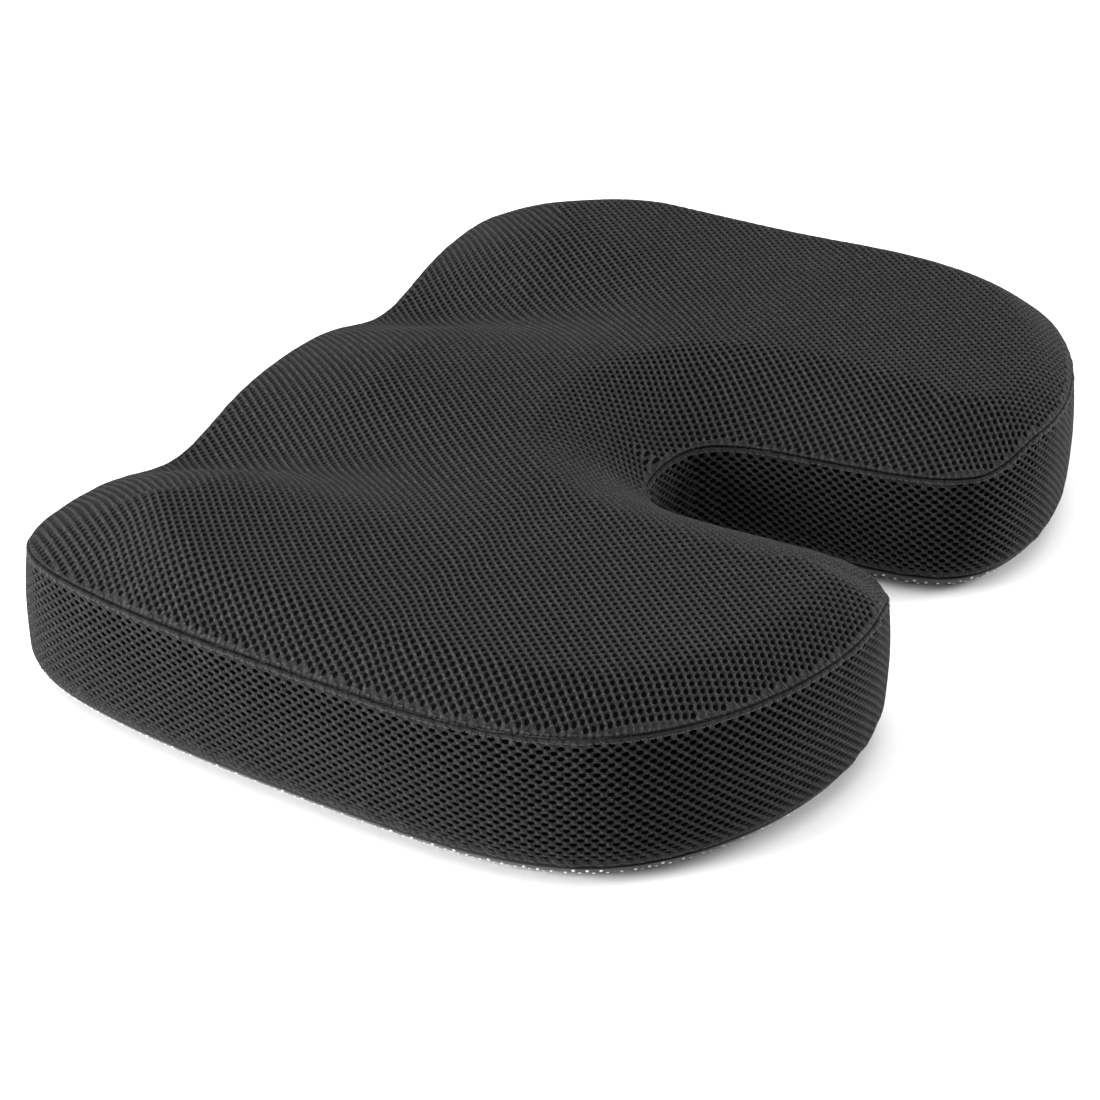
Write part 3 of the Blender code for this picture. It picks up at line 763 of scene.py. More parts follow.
class Finish:
    """A material, built by adding nodes to its Principled shader."""

    def __init__(self, name, **constants):
        self.material = bpy.data.materials.new(name)
        self.material.use_nodes = True
        self.tree = self.material.node_tree
        self.shader = self.tree.nodes["Principled BSDF"]
        for socket, value in constants.items():
            self.shader.inputs[socket.replace("_", " ")].default_value = value

    def node(self, kind, settings, sockets):
        """Adds a node, applies its settings, then gives its sockets their values or links."""
        made = self.tree.nodes.new(kind)
        for name, value in settings.items():
            setattr(made, name, value)
        for name, value in sockets.items():
            self.feed(made.inputs[name], value)
        return made

    def feed(self, socket, value):
        """Links a socket to what varies, or sets it to what is the same all over."""
        if isinstance(value, Value):
            self.tree.links.new(value.socket, socket)
        elif isinstance(value, bpy.types.NodeSocket):
            self.tree.links.new(value, socket)
        else:
            socket.default_value = value

    def over(self, factor, **values):
        """Puts a second Principled shader over the first where the factor is 1."""
        sockets = {name.replace("_", " "): value for name, value in values.items()}
        second = self.node("ShaderNodeBsdfPrincipled", {}, sockets)
        shaders = {0: factor, 1: self.shader.outputs[0], 2: second.outputs[0]}
        both = self.node("ShaderNodeMixShader", {}, shaders)
        self.tree.links.new(both.outputs[0], self.tree.nodes["Material Output"].inputs["Surface"])

    def set(self, **values):
        """Feeds the shader's sockets, named with _ for a space."""
        for name, value in values.items():
            self.feed(self.shader.inputs[name.replace("_", " ")], value)

    def field(self, name):
        """One number stored at the vertices."""
        made = self.node("ShaderNodeAttribute", {"attribute_name": name}, {})
        return Value(self, made.outputs["Fac"])

    def vector_field(self, name):
        """Three numbers stored at the vertices."""
        return self.node("ShaderNodeAttribute", {"attribute_name": name}, {}).outputs["Vector"]

    def place(self):
        """The place on the piece, in metres."""
        return self.node("ShaderNodeTexCoord", {}, {}).outputs["Object"]

    def stretched(self, vector, scale):
        """A place with each of its three numbers scaled on its own."""
        settings = {"operation": "MULTIPLY"}
        return self.node("ShaderNodeVectorMath", settings, {0: vector, 1: scale}).outputs[0]

    def noise(self, vector, scale, detail=2.0, roughness=0.5):
        """Cloudy noise, about 0.3 to 0.7, with scale lumps to a metre."""
        sockets = {"Vector": vector, "Scale": scale, "Detail": detail, "Roughness": roughness}
        return Value(self, self.node("ShaderNodeTexNoise", {}, sockets).outputs["Fac"])

    def wave(self, vector, scale, distortion=0.0, direction="X"):
        """Bands across one direction, from 0 to 1."""
        settings = {"wave_type": "BANDS", "bands_direction": direction}
        sockets = {"Vector": vector, "Scale": scale, "Distortion": distortion}
        return Value(self, self.node("ShaderNodeTexWave", settings, sockets).outputs["Fac"])

    def cells(self, vector, scale):
        """Distance from the middle of the nearest cell."""
        made = self.node("ShaderNodeTexVoronoi", {}, {"Vector": vector, "Scale": scale})
        return Value(self, made.outputs["Distance"])

    def between(self, value, low, high):
        """0 where the value is low or less, 1 where it is high or more."""
        sockets = {"Value": value, 1: low, 2: high}
        settings = {"interpolation_type": "SMOOTHSTEP"}
        return Value(self, self.node("ShaderNodeMapRange", settings, sockets).outputs[0])

    def mix(self, factor, first, second):
        """A colour from first, where the factor is 0, to second, where it is 1."""
        ends = (end if isinstance(end, bpy.types.NodeSocket) else (*end, 1.0) for end in (first, second))
        sockets = dict(zip((0, 6, 7), (factor, *ends)))
        return self.node("ShaderNodeMix", {"data_type": "RGBA"}, sockets).outputs[2]

    def ribs(self, weave):
        """(main, cross): 1 on the ribs along each diagonal of the mesh, 0 along its rows of holes."""
        parts = self.node("ShaderNodeSeparateXYZ", {}, {0: weave})
        across, along = Value(self, parts.outputs[0]), Value(self, parts.outputs[1])
        main = (across - along) * (2 * math.pi)
        cross = (across + along) * (2 * math.pi)
        return 0.5 - 0.5 * main.maths("COSINE", main), 0.5 - 0.5 * cross.maths("COSINE", cross)

    def bump(self, height, distance, strength=1.0):
        """Normals of a relief that is distance high."""
        sockets = {"Height": height, "Distance": distance, "Strength": strength}
        return self.node("ShaderNodeBump", {}, sockets).outputs["Normal"]


def shade(base, factor):
    """A colour made lighter or darker."""
    return tuple(min(1.0, part * factor) for part in base)


def paint(name):
    """One of the colours that the panel shows."""
    return tuple(getattr(bpy.context.scene.cushion_colours, name))


def spacer_mesh(name, hole_shade_scale):
    """Knitted polyester net: matt charcoal yarn, with painted shade in the holes and along the seams, and
    painted highlights on yarn specks and rib crests.

    The second argument is how much lighter than the hole colour the painted shade at the bottom of the
    holes is made.
    """
    net = paint("net")
    # Painted shade: the near-black colour of the hole floors, made lighter or darker for each piece
    hole_shade_colour = shade(paint("hole"), hole_shade_scale)
    made = Finish(name, Sheen_Weight=0.03, Sheen_Roughness=0.4, Specular_IOR_Level=0.18)
    cloth = made.vector_field("cloth")
    hole = made.between(made.field("hole"), 0.74, 0.95)
    main_rib, cross_rib = made.ribs(made.vector_field("weave"))
    strands = made.noise(made.stretched(cloth, (1100, 700, 1)), 1.0, 4.0, 0.8)
    loops = made.noise(made.stretched(cloth, (900, 900, 1)), 1.0, 2.0, 0.5)
    patches = made.noise(cloth, 22.0, 3.0, 0.55)
    # Painted highlights: light specks along the yarn stand in for glints, and the yarn between them is
    # painted darker
    yarn_glint = made.between(strands, 0.48, 0.64)
    lit = made.mix(yarn_glint, shade(net, 0.15), shade(net, 5.0))
    dull = made.mix(made.between(loops, 0.35, 0.65), shade(net, 0.30), shade(net, 1.15))
    yarn = made.mix(0.5, lit, dull)
    # Painted highlight on the rib crests and painted shade in the troughs between them
    rib_highlight = made.between(main_rib, 0.30, 0.92) * (0.30 + 0.9 * yarn_glint)
    raised = made.mix(rib_highlight, shade(net, 0.3), shade(net, 3.8))
    yarn = made.mix(0.6, yarn, raised)
    # Painted shade in the seam groove and on the closed cells beside it
    seam_shaded_yarn = made.mix(yarn_glint, shade(net, 0.05), shade(net, 0.7))
    yarn = made.mix(made.between(made.field("shut"), 0.10, 0.80) * 0.9, yarn, seam_shaded_yarn)
    worn = made.mix(made.between(patches, 0.42, 0.75) * 0.2, yarn, shade(net, 1.9))
    height = main_rib * 0.9 + cross_rib * 0.35 + strands * 0.3 + loops * 0.25
    made.set(
        Base_Color=worn,
        Roughness=0.62 + 0.2 * loops,
        Normal=made.bump(height, 0.00055, 1.0),
    )
    # The hole floors take the painted shade, speckled with lighter painted glints, and have no sheen or
    # specular
    fluff = made.mix(yarn_glint, hole_shade_colour, shade(hole_shade_colour, 2.0))
    made.over(hole, Base_Color=fluff, Roughness=1.0, Specular_IOR_Level=0.0)
    return made.material


def grip_fabric():
    """Plain woven black polyester under the rubber dots."""
    base = paint("grip")
    made = Finish("grip_fabric", Sheen_Weight=0.15, Sheen_Roughness=0.5)
    place = made.place()
    warp, weft = (made.wave(place, 520.0, 1.2, direction) for direction in "XY")
    patches = made.noise(place, 30.0, 3.0)
    weave = (warp * weft).clamped()
    woven = made.mix(weave, shade(base, 0.55), shade(base, 1.6))
    made.set(
        Base_Color=made.mix(made.between(patches, 0.45, 0.8) * 0.25, woven, shade(base, 2.2)),
        Roughness=0.78 + 0.15 * patches,
        Normal=made.bump(weave, 0.00012, 0.7),
    )
    return made.material


def rubber():
    """White rubber of the dots, greyed in patches by use."""
    base = paint("dot")
    made = Finish("rubber_dots", Specular_IOR_Level=0.45)
    place = made.place()
    grime = made.noise(place, 60.0, 4.0, 0.6)
    grain = made.noise(place, 2400.0, 2.0)
    made.set(
        Base_Color=made.mix(made.between(grime, 0.40, 0.75) * 0.5, base, shade(base, 0.62)),
        Roughness=0.42 + 0.25 * grime,
        Normal=made.bump(grain, 0.00004, 0.5),
    )
    return made.material


def foam_finish():
    """Pale moulded foam with open pores, with painted shade in the pores."""
    base = paint("foam")
    made = Finish("foam", Specular_IOR_Level=0.2)
    place = made.place()
    pores = made.cells(place, 900.0)
    patches = made.noise(place, 18.0, 3.0)
    # Painted shade: the middles of the pores are painted darker
    pore_shade = made.between(pores, 0.18, 0.42)
    skin = made.mix(made.between(patches, 0.35, 0.7), shade(base, 0.93), shade(base, 1.04))
    made.set(
        Base_Color=made.mix(pore_shade, shade(base, 0.62), skin),
        Roughness=0.86 + 0.1 * patches,
        Normal=made.bump(pores, 0.0003, 0.8),
    )
    return made.material


def tape_finish():
    """Ribbed woven tape of the zip."""
    base = paint("tape")
    made = Finish("zip_tape_weave", Sheen_Weight=0.2, Sheen_Roughness=0.4)
    place = made.place()
    ribs = made.wave(place, 420.0, 0.3, "Z")
    rows = made.wave(place, 560.0, 0.6, "X")
    fluff = made.noise(place, 900.0, 2.0)
    weave = (ribs * 0.6 + rows * 0.4).clamped()
    made.set(
        Base_Color=made.mix(weave, shade(base, 0.6), shade(base, 1.7)),
        Roughness=0.72 + 0.2 * fluff,
        Normal=made.bump(weave, 0.00015, 0.8),
    )
    return made.material


def coil_finish():
    """Black nylon, rubbed duller in places."""
    base = paint("coil")
    made = Finish("zip_coil_nylon", Specular_IOR_Level=0.5)
    place = made.place()
    rub = made.noise(place, 260.0, 3.0)
    made.set(
        Base_Color=made.mix(made.between(rub, 0.4, 0.7), base, shade(base, 1.9)),
        Roughness=0.28 + 0.25 * rub,
        Normal=made.bump(rub, 0.00003, 0.4),
    )
    return made.material


def lacquer():
    """Black lacquered zinc, worn to metal in small spots."""
    made = Finish("zip_lacquer", Coat_Roughness=0.18, Specular_IOR_Level=0.5)
    place = made.place()
    scuffs = made.noise(place, 700.0, 4.0, 0.7)
    scratch = made.noise(made.stretched(place, (300, 2600, 2600)), 1.0, 2.0)
    bare = made.between(scuffs, 0.66, 0.72)
    made.set(
        Base_Color=made.mix(bare, paint("metal"), paint("bare")),
        Metallic=bare * 0.9,
        Roughness=0.26 + 0.3 * scratch,
        Coat_Weight=0.5 - 0.5 * bare,
        Normal=made.bump(scratch, 0.00002, 0.4),
    )
    return made.material


def thread_finish():
    """Twisted polyester thread, a little lighter than the mesh."""
    base = paint("net")
    made = Finish("thread", Sheen_Weight=0.2, Sheen_Roughness=0.4)
    place = made.place()
    twist = made.wave(place, 900.0, 0.4, "DIAGONAL")
    made.set(
        Base_Color=made.mix(twist, shade(base, 0.8), shade(base, 1.5)),
        Roughness=0.5 + 0.2 * twist,
        Normal=made.bump(twist, 0.00005, 0.6),
    )
    return made.material


def floor_finish():
    """Matt pale floor."""
    base = tuple(bpy.context.scene.cushion_stage.floor)
    made = Finish("floor", Specular_IOR_Level=0.1)
    haze = made.noise(made.place(), 1.5, 2.0)
    made.set(
        Base_Color=made.mix(haze, base, shade(base, 0.985)),
        Roughness=0.9 + 0.05 * haze,
    )
    return made.material


# ---------------------------------------------------------------- pieces

# Least room between a hole's middle and a panel's turned edge, and the wall's greatest height
TOP_HOLE_ROOM = 0.0014
WALL_HOLE_ROOM = (0.0016, 0.0012)
WALL_TOP = 0.070

# Times that a border's vertices are moved towards even spacing
SPACING_PASSES = 4

# A strip of boxing is laid out for its finish in rows no longer than this, this far apart
LAYOUT_ROW = (0.300, 0.062)

# Zip coils
ZIP_MIDDLE = 0.026
COIL_PITCH = 0.0015
COIL_WIRE = 0.0003
COIL_OVERLAP = 0.0002

# Room between the foam and the outside of the cover, and the foam's recess behind the zip
FOAM_ROOM = 0.0045
FOAM_ZIP_RECESS = 0.0045


def top_net():
    """The top panel's spacer mesh, stretched over the crown from seam to seam."""
    sizes = bpy.context.scene.cushion_cover
    surface = TopSurface(sizes)
    inset = SEAM_INSET + sizes.roll
    room = 0.075 * sizes.top_pitch_y

    def keep(cloth):
        places = surface.place_of(cloth)
        return surface.read(surface.depth, places) > inset + room

    low = np.array([surface.across.min(), surface.along.min()])
    high = np.array([surface.across.max(), surface.along.max()])
    net = Net(sizes, (sizes.top_pitch_x, sizes.top_pitch_y), (sizes.top_hole_x, sizes.top_hole_y),
              low, high, keep, False)
    places = surface.place_of(net.corner_cloth)
    centre = surface.place_of(net.centre_cloth)
    open_hole = surface.read(surface.depth, centre) > inset + TOP_HOLE_ROOM
    loop = net.border()
    station, _ = PLAN.nearest(places[loop])
    half = PLAN.length / 2
    for _ in range(SPACING_PASSES):
        ahead, behind = (np.mod(np.roll(station, step) - station + half, PLAN.length) - half
                         for step in (-1, 1))
        station = station + 0.25 * (ahead + behind)
    edge, outward = PLAN.at(station)
    snapped = edge - outward * inset
    tips, down = seam_tips(station, sizes, 1)
    # 2.6 makes the painted shade in the top's holes lighter
    finish = spacer_mesh("spacer_mesh_top", 2.6)
    piece, cloth, outer_faces = net_panel("top_panel_net", finish, net, surface, places, centre,
                                          open_hole, snapped, tips, down, 0.012)
    shift = np.zeros((len(piece.data.polygons), 2))
    shift[outer_faces:, 1] = 1.02 * (high[1] - low[1])
    add_layout(piece, cloth, shift)
    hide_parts("top_panel")


def seam_tips(station, sizes, side):
    """(seam line, direction into the groove) at stations: side is 1 for the top, -1 for the boxing."""
    edge, outward = PLAN.at(station)
    seam = seam_height(*edge.T)
    middle = edge - outward * SEAM_INSET
    slope = CROWN_POWER * (crown_height(*middle.T) - seam) / crown_reach(*edge.T)
    upward = np.tile((0.0, 0.0, 1.0), (len(station), 1))
    flat_out = np.column_stack([outward, np.zeros(len(station))])
    angle = np.arctan(slope)[:, None]
    top_normal = flat_out * np.sin(angle) + upward * np.cos(angle)
    down = -unit(top_normal + flat_out)
    line = np.column_stack([middle, seam])
    apart = unit(upward - (upward * down).sum(axis=1)[:, None] * down)
    return line + side * apart * sizes.gap / 2, down


def snap_border(border, ends, low_line, high_line):
    """A strip's ragged border, moved onto its two straight ends and its lower and upper lines.

    ends are the stations of the two ends, and the lines give a height at each station.
    """
    station, height = border.T
    low, high = low_line(station), high_line(station)
    room = np.stack([station - ends[0], ends[1] - station, height - low, high - height])
    side = room.argmin(axis=0)
    spots = [(end, line(np.array([end]))[0]) for end in ends for line in (low_line, high_line)]
    corners = [((border - spot) ** 2).sum(axis=1).argmin() for spot in spots]
    turns = np.sort(corners)
    for start, end in zip(turns, np.roll(turns, -1)):
        run = np.arange(start + 1, end if end > start else end + len(border)) % len(border)
        side[run] = np.bincount(side[run], minlength=4).argmax()
    across = np.where(side == 0, ends[0], np.where(side == 1, ends[1], np.clip(station, *ends)))
    up = np.where(side == 2, low, np.where(side == 3, high, np.clip(height, low, high)))
    snapped = np.column_stack([across, up])
    snapped[corners] = spots
    free = np.ones(len(border), dtype=bool)
    free[corners] = False
    for _ in range(SPACING_PASSES):
        even = 0.5 * snapped + 0.25 * (np.roll(snapped, 1, axis=0) + np.roll(snapped, -1, axis=0))
        for sides, axis in ((side >= 2, 0), (side < 2, 1)):
            snapped[sides & free, axis] = even[sides & free, axis]
    for number, line in ((2, low_line), (3, high_line)):
        chosen = (side == number) & free
        snapped[chosen, 1] = line(snapped[chosen, 0])
    return snapped


def wall_net(name, first, last, low, high=None):
    """A strip of the boxing between two stations and two heights, or up to the top seam."""
    sizes = bpy.context.scene.cushion_cover
    surface = WallSurface(sizes)
    pitch = (sizes.side_pitch_x, sizes.side_pitch_z)
    start, end = first + sizes.gap / 2, last - sizes.gap / 2

    def bottom(station):
        return np.full(len(station), low + sizes.gap / 2)

    def top(station):
        return surface.seam(station) - sizes.gap / 2 if high is None else np.full(len(station), high)

    def low_line(station):
        return bottom(station) + sizes.roll

    def high_line(station):
        return top(station) - sizes.roll

    def keep(cloth):
        station, height = cloth.T
        end_room = sizes.roll + 0.25 * pitch[0]
        side_room = sizes.roll + 0.10 * pitch[1]
        return ((station > start + end_room) & (station < end - end_room)
                & (height > bottom(station) + side_room) & (height < top(station) - side_room))

    hole = (sizes.side_hole_x, sizes.side_hole_z)
    net = Net(sizes, pitch, hole, np.array([start, low]), np.array([end, WALL_TOP]), keep, True)
    places = net.corner_cloth.copy()
    ends = (start + sizes.roll, end - sizes.roll)
    snapped = snap_border(places[net.border()], ends, low_line, high_line)
    centre = net.centre_cloth
    station, height = centre.T
    end_room = np.minimum(station - ends[0], ends[1] - station)
    side_room = np.minimum(height - bottom(station), top(station) - height) - sizes.roll
    open_hole = (end_room > WALL_HOLE_ROOM[0]) & (side_room > WALL_HOLE_ROOM[1])
    at_start = np.isclose(snapped[:, 0], ends[0])
    at_end = np.isclose(snapped[:, 0], ends[1])
    at_low = np.isclose(snapped[:, 1], low_line(snapped[:, 0]))
    at_high = np.isclose(snapped[:, 1], high_line(snapped[:, 0]))
    line = snapped.copy()
    line[at_start, 0] = start
    line[at_end, 0] = end
    line[at_low, 1] = bottom(line[:, 0])[at_low]
    line[at_high, 1] = top(line[:, 0])[at_high]
    tips, normals = surface.lift(line)
    down = -normals
    if high is None:
        _, seam_down = seam_tips(line[:, 0], sizes, -1)
        down[at_high] = seam_down[at_high]
    if low == BASE_SEAM_HEIGHT:
        down[at_low] = unit(down[at_low] * 0.8 + np.array([(0, 0, 0.35)]))
    # 0.8 makes the painted shade in the boxing's holes a little darker
    finish = spacer_mesh("mesh_" + name, 0.8)
    piece, cloth, outer_faces = net_panel(name, finish, net, surface, places, centre, open_hole,
                                          snapped, tips, down, 0.010)
    wrap_layout(piece, cloth, outer_faces, end - start)
    return piece


def wrap_layout(piece, cloth, outer_faces, whole):
    """Lays a long strip out as rows one above another, the outer face first."""
    longest, apart = LAYOUT_ROW
    rows = max(1, math.ceil(whole / longest))
    row_length = whole / rows
    mesh = piece.data
    first_vertex = np.array([polygon.vertices[0] for polygon in mesh.polygons])
    run = cloth[first_vertex, 0] - cloth[:, 0].min()
    row = np.clip((run / row_length).astype(int), 0, rows - 1)
    shift = np.column_stack([-row * row_length, row * apart])
    shift[outer_faces:, 1] += rows * apart
    add_layout(piece, cloth, shift)


def side_net():
    """The boxing from one end of the zip bands round to the other."""
    piece = wall_net("side_band_net", ZIP_HALF, PLAN.length - ZIP_HALF, BASE_SEAM_HEIGHT)
    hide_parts("side_band")


def zip_nets():
    """The strips of boxing below and above the zip."""
    lower = wall_net("zip_band_lower_net", -ZIP_HALF, ZIP_HALF, BASE_SEAM_HEIGHT, WINDOW_LOW)
    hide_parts("zip_band_lower")
    upper = wall_net("zip_band_upper_net", -ZIP_HALF, ZIP_HALF, WINDOW_HIGH)
    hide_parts("zip_band_upper")


def curl_table():
    """(heights, insets, lengths up the curl) of the base's curled edge, from the flat underside."""
    heights = np.linspace(0, FLAT_LOW, 200)
    insets = base_inset(heights)
    steps = np.hypot(np.diff(heights), np.diff(insets))
    return heights, insets, np.concatenate([[0], np.cumsum(steps)])


def curl(reach):
    """(inset, height) on the base's curled edge, at lengths up it."""
    heights, insets, run = curl_table()
    return np.interp(reach, run, insets), np.interp(reach, run, heights)


def curl_length():
    """Length of the curled edge, up to the base seam."""
    heights, _, run = curl_table()
    return np.interp(BASE_SEAM_HEIGHT, heights, run)


def raised(height, sizes):
    """A height on the base, after the whole base is raised onto its dots."""
    return height * (1 - sizes.lift / BASE_SEAM_HEIGHT) + sizes.lift


def base_cloth():
    """The non-slip base: flat below, curled up to the base seam."""
    sizes = bpy.context.scene.cushion_base
    count = round(PLAN.length / 0.004)
    stations = np.linspace(0, PLAN.length, count, endpoint=False)
    edge, outward = PLAN.at(stations)
    outer_rows = []
    for reach in np.linspace(curl_length() - 0.0003, 0, 9):
        inset, height = curl(reach)
        outer_rows.append((inset, raised(height, sizes)))
    inner_rows = [(inset + sizes.thickness * 0.7, height + sizes.thickness * 0.8)
                  for inset, height in outer_rows]
    inner_rows[0] = (outer_rows[0][0] + sizes.thickness, outer_rows[0][1])
    levels = inner_rows[::-1] + outer_rows
    points = np.vstack([np.column_stack([edge - outward * inset, np.full(count, height)])
                        for inset, height in levels])
    rings = [list(range(k * count, (k + 1) * count)) for k in range(len(levels))]
    faces = ring_faces(rings[::-1])
    for ring, upward in ((rings[0], True), (rings[-1], False)):
        places, added = fill(points[ring, :2], ring, len(points), 0.010, upward)
        points = np.vstack([points, np.column_stack([places, np.full(len(places), points[ring[0], 2])])])
        faces += added
    piece = add_piece("base_panel_cloth", points, faces, grip_fabric())
    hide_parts("base_panel")


def dot_places(sizes):
    """(centres, directions along the edge, directions up the curl, normals) of the rubber dots."""
    pitch = np.array([sizes.dot_pitch, sizes.dot_pitch * 0.866])
    low, high = PLAN.points.min(axis=0) / pitch, PLAN.points.max(axis=0) / pitch
    columns, rows = (np.arange(math.floor(low[k]), math.ceil(high[k]) + 1) for k in (0, 1))
    column, row = np.meshgrid(columns, rows)
    places = np.stack([(column + 0.5 * (row % 2)).ravel(), row.ravel()], axis=1) * pitch
    station, depth = PLAN.nearest(places)
    reach = BASE_INSET - depth
    keep = (depth > 0) & (reach < curl_length() - 0.0022)
    places, station, reach = places[keep], station[keep], reach[keep]
    edge, outward = PLAN.at(station)
    curled = reach > 0
    step = 0.0002
    inset, height = curl(np.clip(reach, 0, None))
    inset_on, height_on = curl(np.clip(reach, 0, None) + step)
    out = np.where(curled, inset - inset_on, step)
    up = np.where(curled, height_on - height, 0)
    size = np.hypot(out, up)
    flat_out = np.column_stack([outward, np.zeros(len(outward))])
    along = np.cross(flat_out, (0, 0, 1.0))
    rise = flat_out * (out / size)[:, None] + np.array([(0, 0, 1.0)]) * (up / size)[:, None]
    normal = unit(np.cross(along, rise))
    normal *= np.sign(-normal[:, 2:3] + 1e-9)
    flat = np.where(curled[:, None], edge - outward * inset[:, None], places)
    return np.column_stack([flat, raised(height, sizes)]), along, rise, normal


def dots():
    """Low rubber domes over the base and up its curled edge."""
    sizes = bpy.context.scene.cushion_base
    turn = np.arange(6) * math.pi / 3
    points = []
    faces = []
    for number, (centre, along, rise, normal) in enumerate(zip(*dot_places(sizes))):
        start = 13 * number
        ring = np.cos(turn)[:, None] * along + np.sin(turn)[:, None] * rise
        for share, lifted in ((1.0, -0.25), (0.78, 0.68)):
            points.append(centre + ring * share * sizes.dot_radius + normal * lifted * sizes.lift)
        points.append((centre + normal * sizes.lift)[None])
        made = []
        for k in range(6):
            n = (k + 1) % 6
            made.append((start + k, start + n, start + 6 + n, start + 6 + k))
            made.append((start + 6 + k, start + 6 + n, start + 12))
        made.append(tuple(start + k for k in range(5, -1, -1)))
        away = np.dot(np.cross(along, rise), normal) < 0
        faces += [face[::-1] for face in made] if away else made
    piece = add_piece("grip_dots", np.vstack(points), faces, rubber())


def tube(path, radius, sides):
    """(points, faces) of a round bar along a path of points."""
    count = len(path)
    along = unit(np.gradient(path, axis=0))
    side = unit(np.cross(along, np.where(np.abs(along[:, 2:3]) > 0.9, (1.0, 0, 0), (0, 0, 1.0))))
    up = np.cross(side, along)
    turn = np.arange(sides) * 2 * math.pi / sides
    rings = (path[:, None] + radius * (np.cos(turn)[None, :, None] * side[:, None]
                                       + np.sin(turn)[None, :, None] * up[:, None]))
    faces = []
    for ring in range(count - 1):
        low, high = ring * sides, (ring + 1) * sides
        for k in range(sides):
            n = (k + 1) % sides
            faces.append((low + k, high + k, high + n, low + n))
    faces.append(tuple(range(sides)))
    faces.append(tuple(range(count * sides - 1, (count - 1) * sides - 1, -1)))
    return rings.reshape(-1, 3), faces


def coils():
    """The zip's two nylon coils, each a flattened spiral, one's loops between the other's."""
    finish = coil_finish()
    for side, sign in (("lower", -1), ("upper", 1)):
        low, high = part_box("zip_coil_" + side)
        inner = ZIP_MIDDLE - sign * COIL_OVERLAP
        outer = low.z + COIL_WIRE if side == "lower" else high.z - COIL_WIRE
        turns = (high.x - low.x - 2 * COIL_WIRE) / COIL_PITCH
        start = math.pi if side == "upper" else 0
        angle = np.arange(0, turns * 2 * math.pi, math.pi / 6) + start
        path = np.column_stack([
            low.x + COIL_WIRE + COIL_PITCH * (angle - angle[0]) / (2 * math.pi),
            (low.y + high.y) / 2 - FRONT_Y + ((high.y - low.y) / 2 - COIL_WIRE) * np.sin(angle),
            (inner + outer) / 2 + abs(outer - inner) / 2 * np.cos(angle),
        ])
        points, faces = tube(path, COIL_WIRE, 6)
        piece = add_piece("zip_coil_spiral_" + side, points, faces, finish)
        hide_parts("zip_coil_" + side)


def dress(name, finish, edge):
    """Gives a carried-over node its finish and slightly rounded edges."""
    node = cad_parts[name]
    node.data.materials.clear()
    node.data.materials.append(finish)
    bevel = node.modifiers.new("edges", "BEVEL")
    bevel.width = edge
    bevel.segments = 2
    bevel.limit_method = "ANGLE"
    bevel.angle_limit = math.radians(35)
    bevel.harden_normals = True


def zip_hardware():
    """Finishes for the tapes, the stops, the slider and its pull."""
    tape = tape_finish()
    metal = lacquer()
    for name in ("zip_tape_lower", "zip_tape_upper"):
        dress(name, tape, 0.00015)
    for name in ("zip_stop_closed", "zip_stop_open", "zip_slider", "zip_pull"):
        dress(name, metal, 0.00018)


def stitched(name, line, outward, pitch, run, radius, finish):
    """Separate short stitches along a line of points, each bowed slightly outwards.

    pitch is the distance between stitches, and run the length of each.
    """
    step = np.linalg.norm(np.diff(line, axis=0), axis=1)
    place = np.concatenate([[0], np.cumsum(step)])
    share = np.linspace(0, 1, 5)
    bow = radius * 0.9 * (1 - (2 * share - 1) ** 4) - radius * 0.5
    points = []
    faces = []
    for start in np.arange(pitch / 2, place[-1] - pitch, pitch):
        spots = start + run * share
        path = np.stack([np.interp(spots, place, line[:, k]) for k in range(3)], axis=1)
        out = np.stack([np.interp(spots, place, outward[:, k]) for k in range(3)], axis=1)
        bar, sides = tube(path + out * bow[:, None], radius, 5)
        offset = len(bar) * len(points)
        points.append(bar)
        faces += [tuple(k + offset for k in face) for face in sides]
    return add_piece(name, np.vstack(points), faces, finish)


def threads():
    """Stitches below the top seam, above the base seam, and along both edges of the zip window."""
    sizes = bpy.context.scene.cushion_cover
    surface = WallSurface(sizes)
    finish = thread_finish()
    round_all = np.linspace(0, PLAN.length, 3000)
    across = np.linspace(-ZIP_HALF + 0.003, ZIP_HALF - 0.003, 600)
    seam = (0.0027, 0.0020, 0.00016)
    window = (0.0030, 0.0022, 0.00018)
    for name, stations, height, stitch in (
            ("thread_top_seam", round_all, surface.seam(round_all) - 0.0019, seam),
            ("thread_base_seam", round_all, BASE_SEAM_HEIGHT + 0.0024, seam),
            ("thread_zip_lower", across, WINDOW_LOW - 0.0028, window),
            ("thread_zip_upper", across, WINDOW_HIGH + 0.0028, window)):
        heights = height + np.zeros(len(stations))
        line, normals = surface.lift(np.column_stack([stations, heights]))
        piece = stitched(name, line, normals, *stitch, finish)


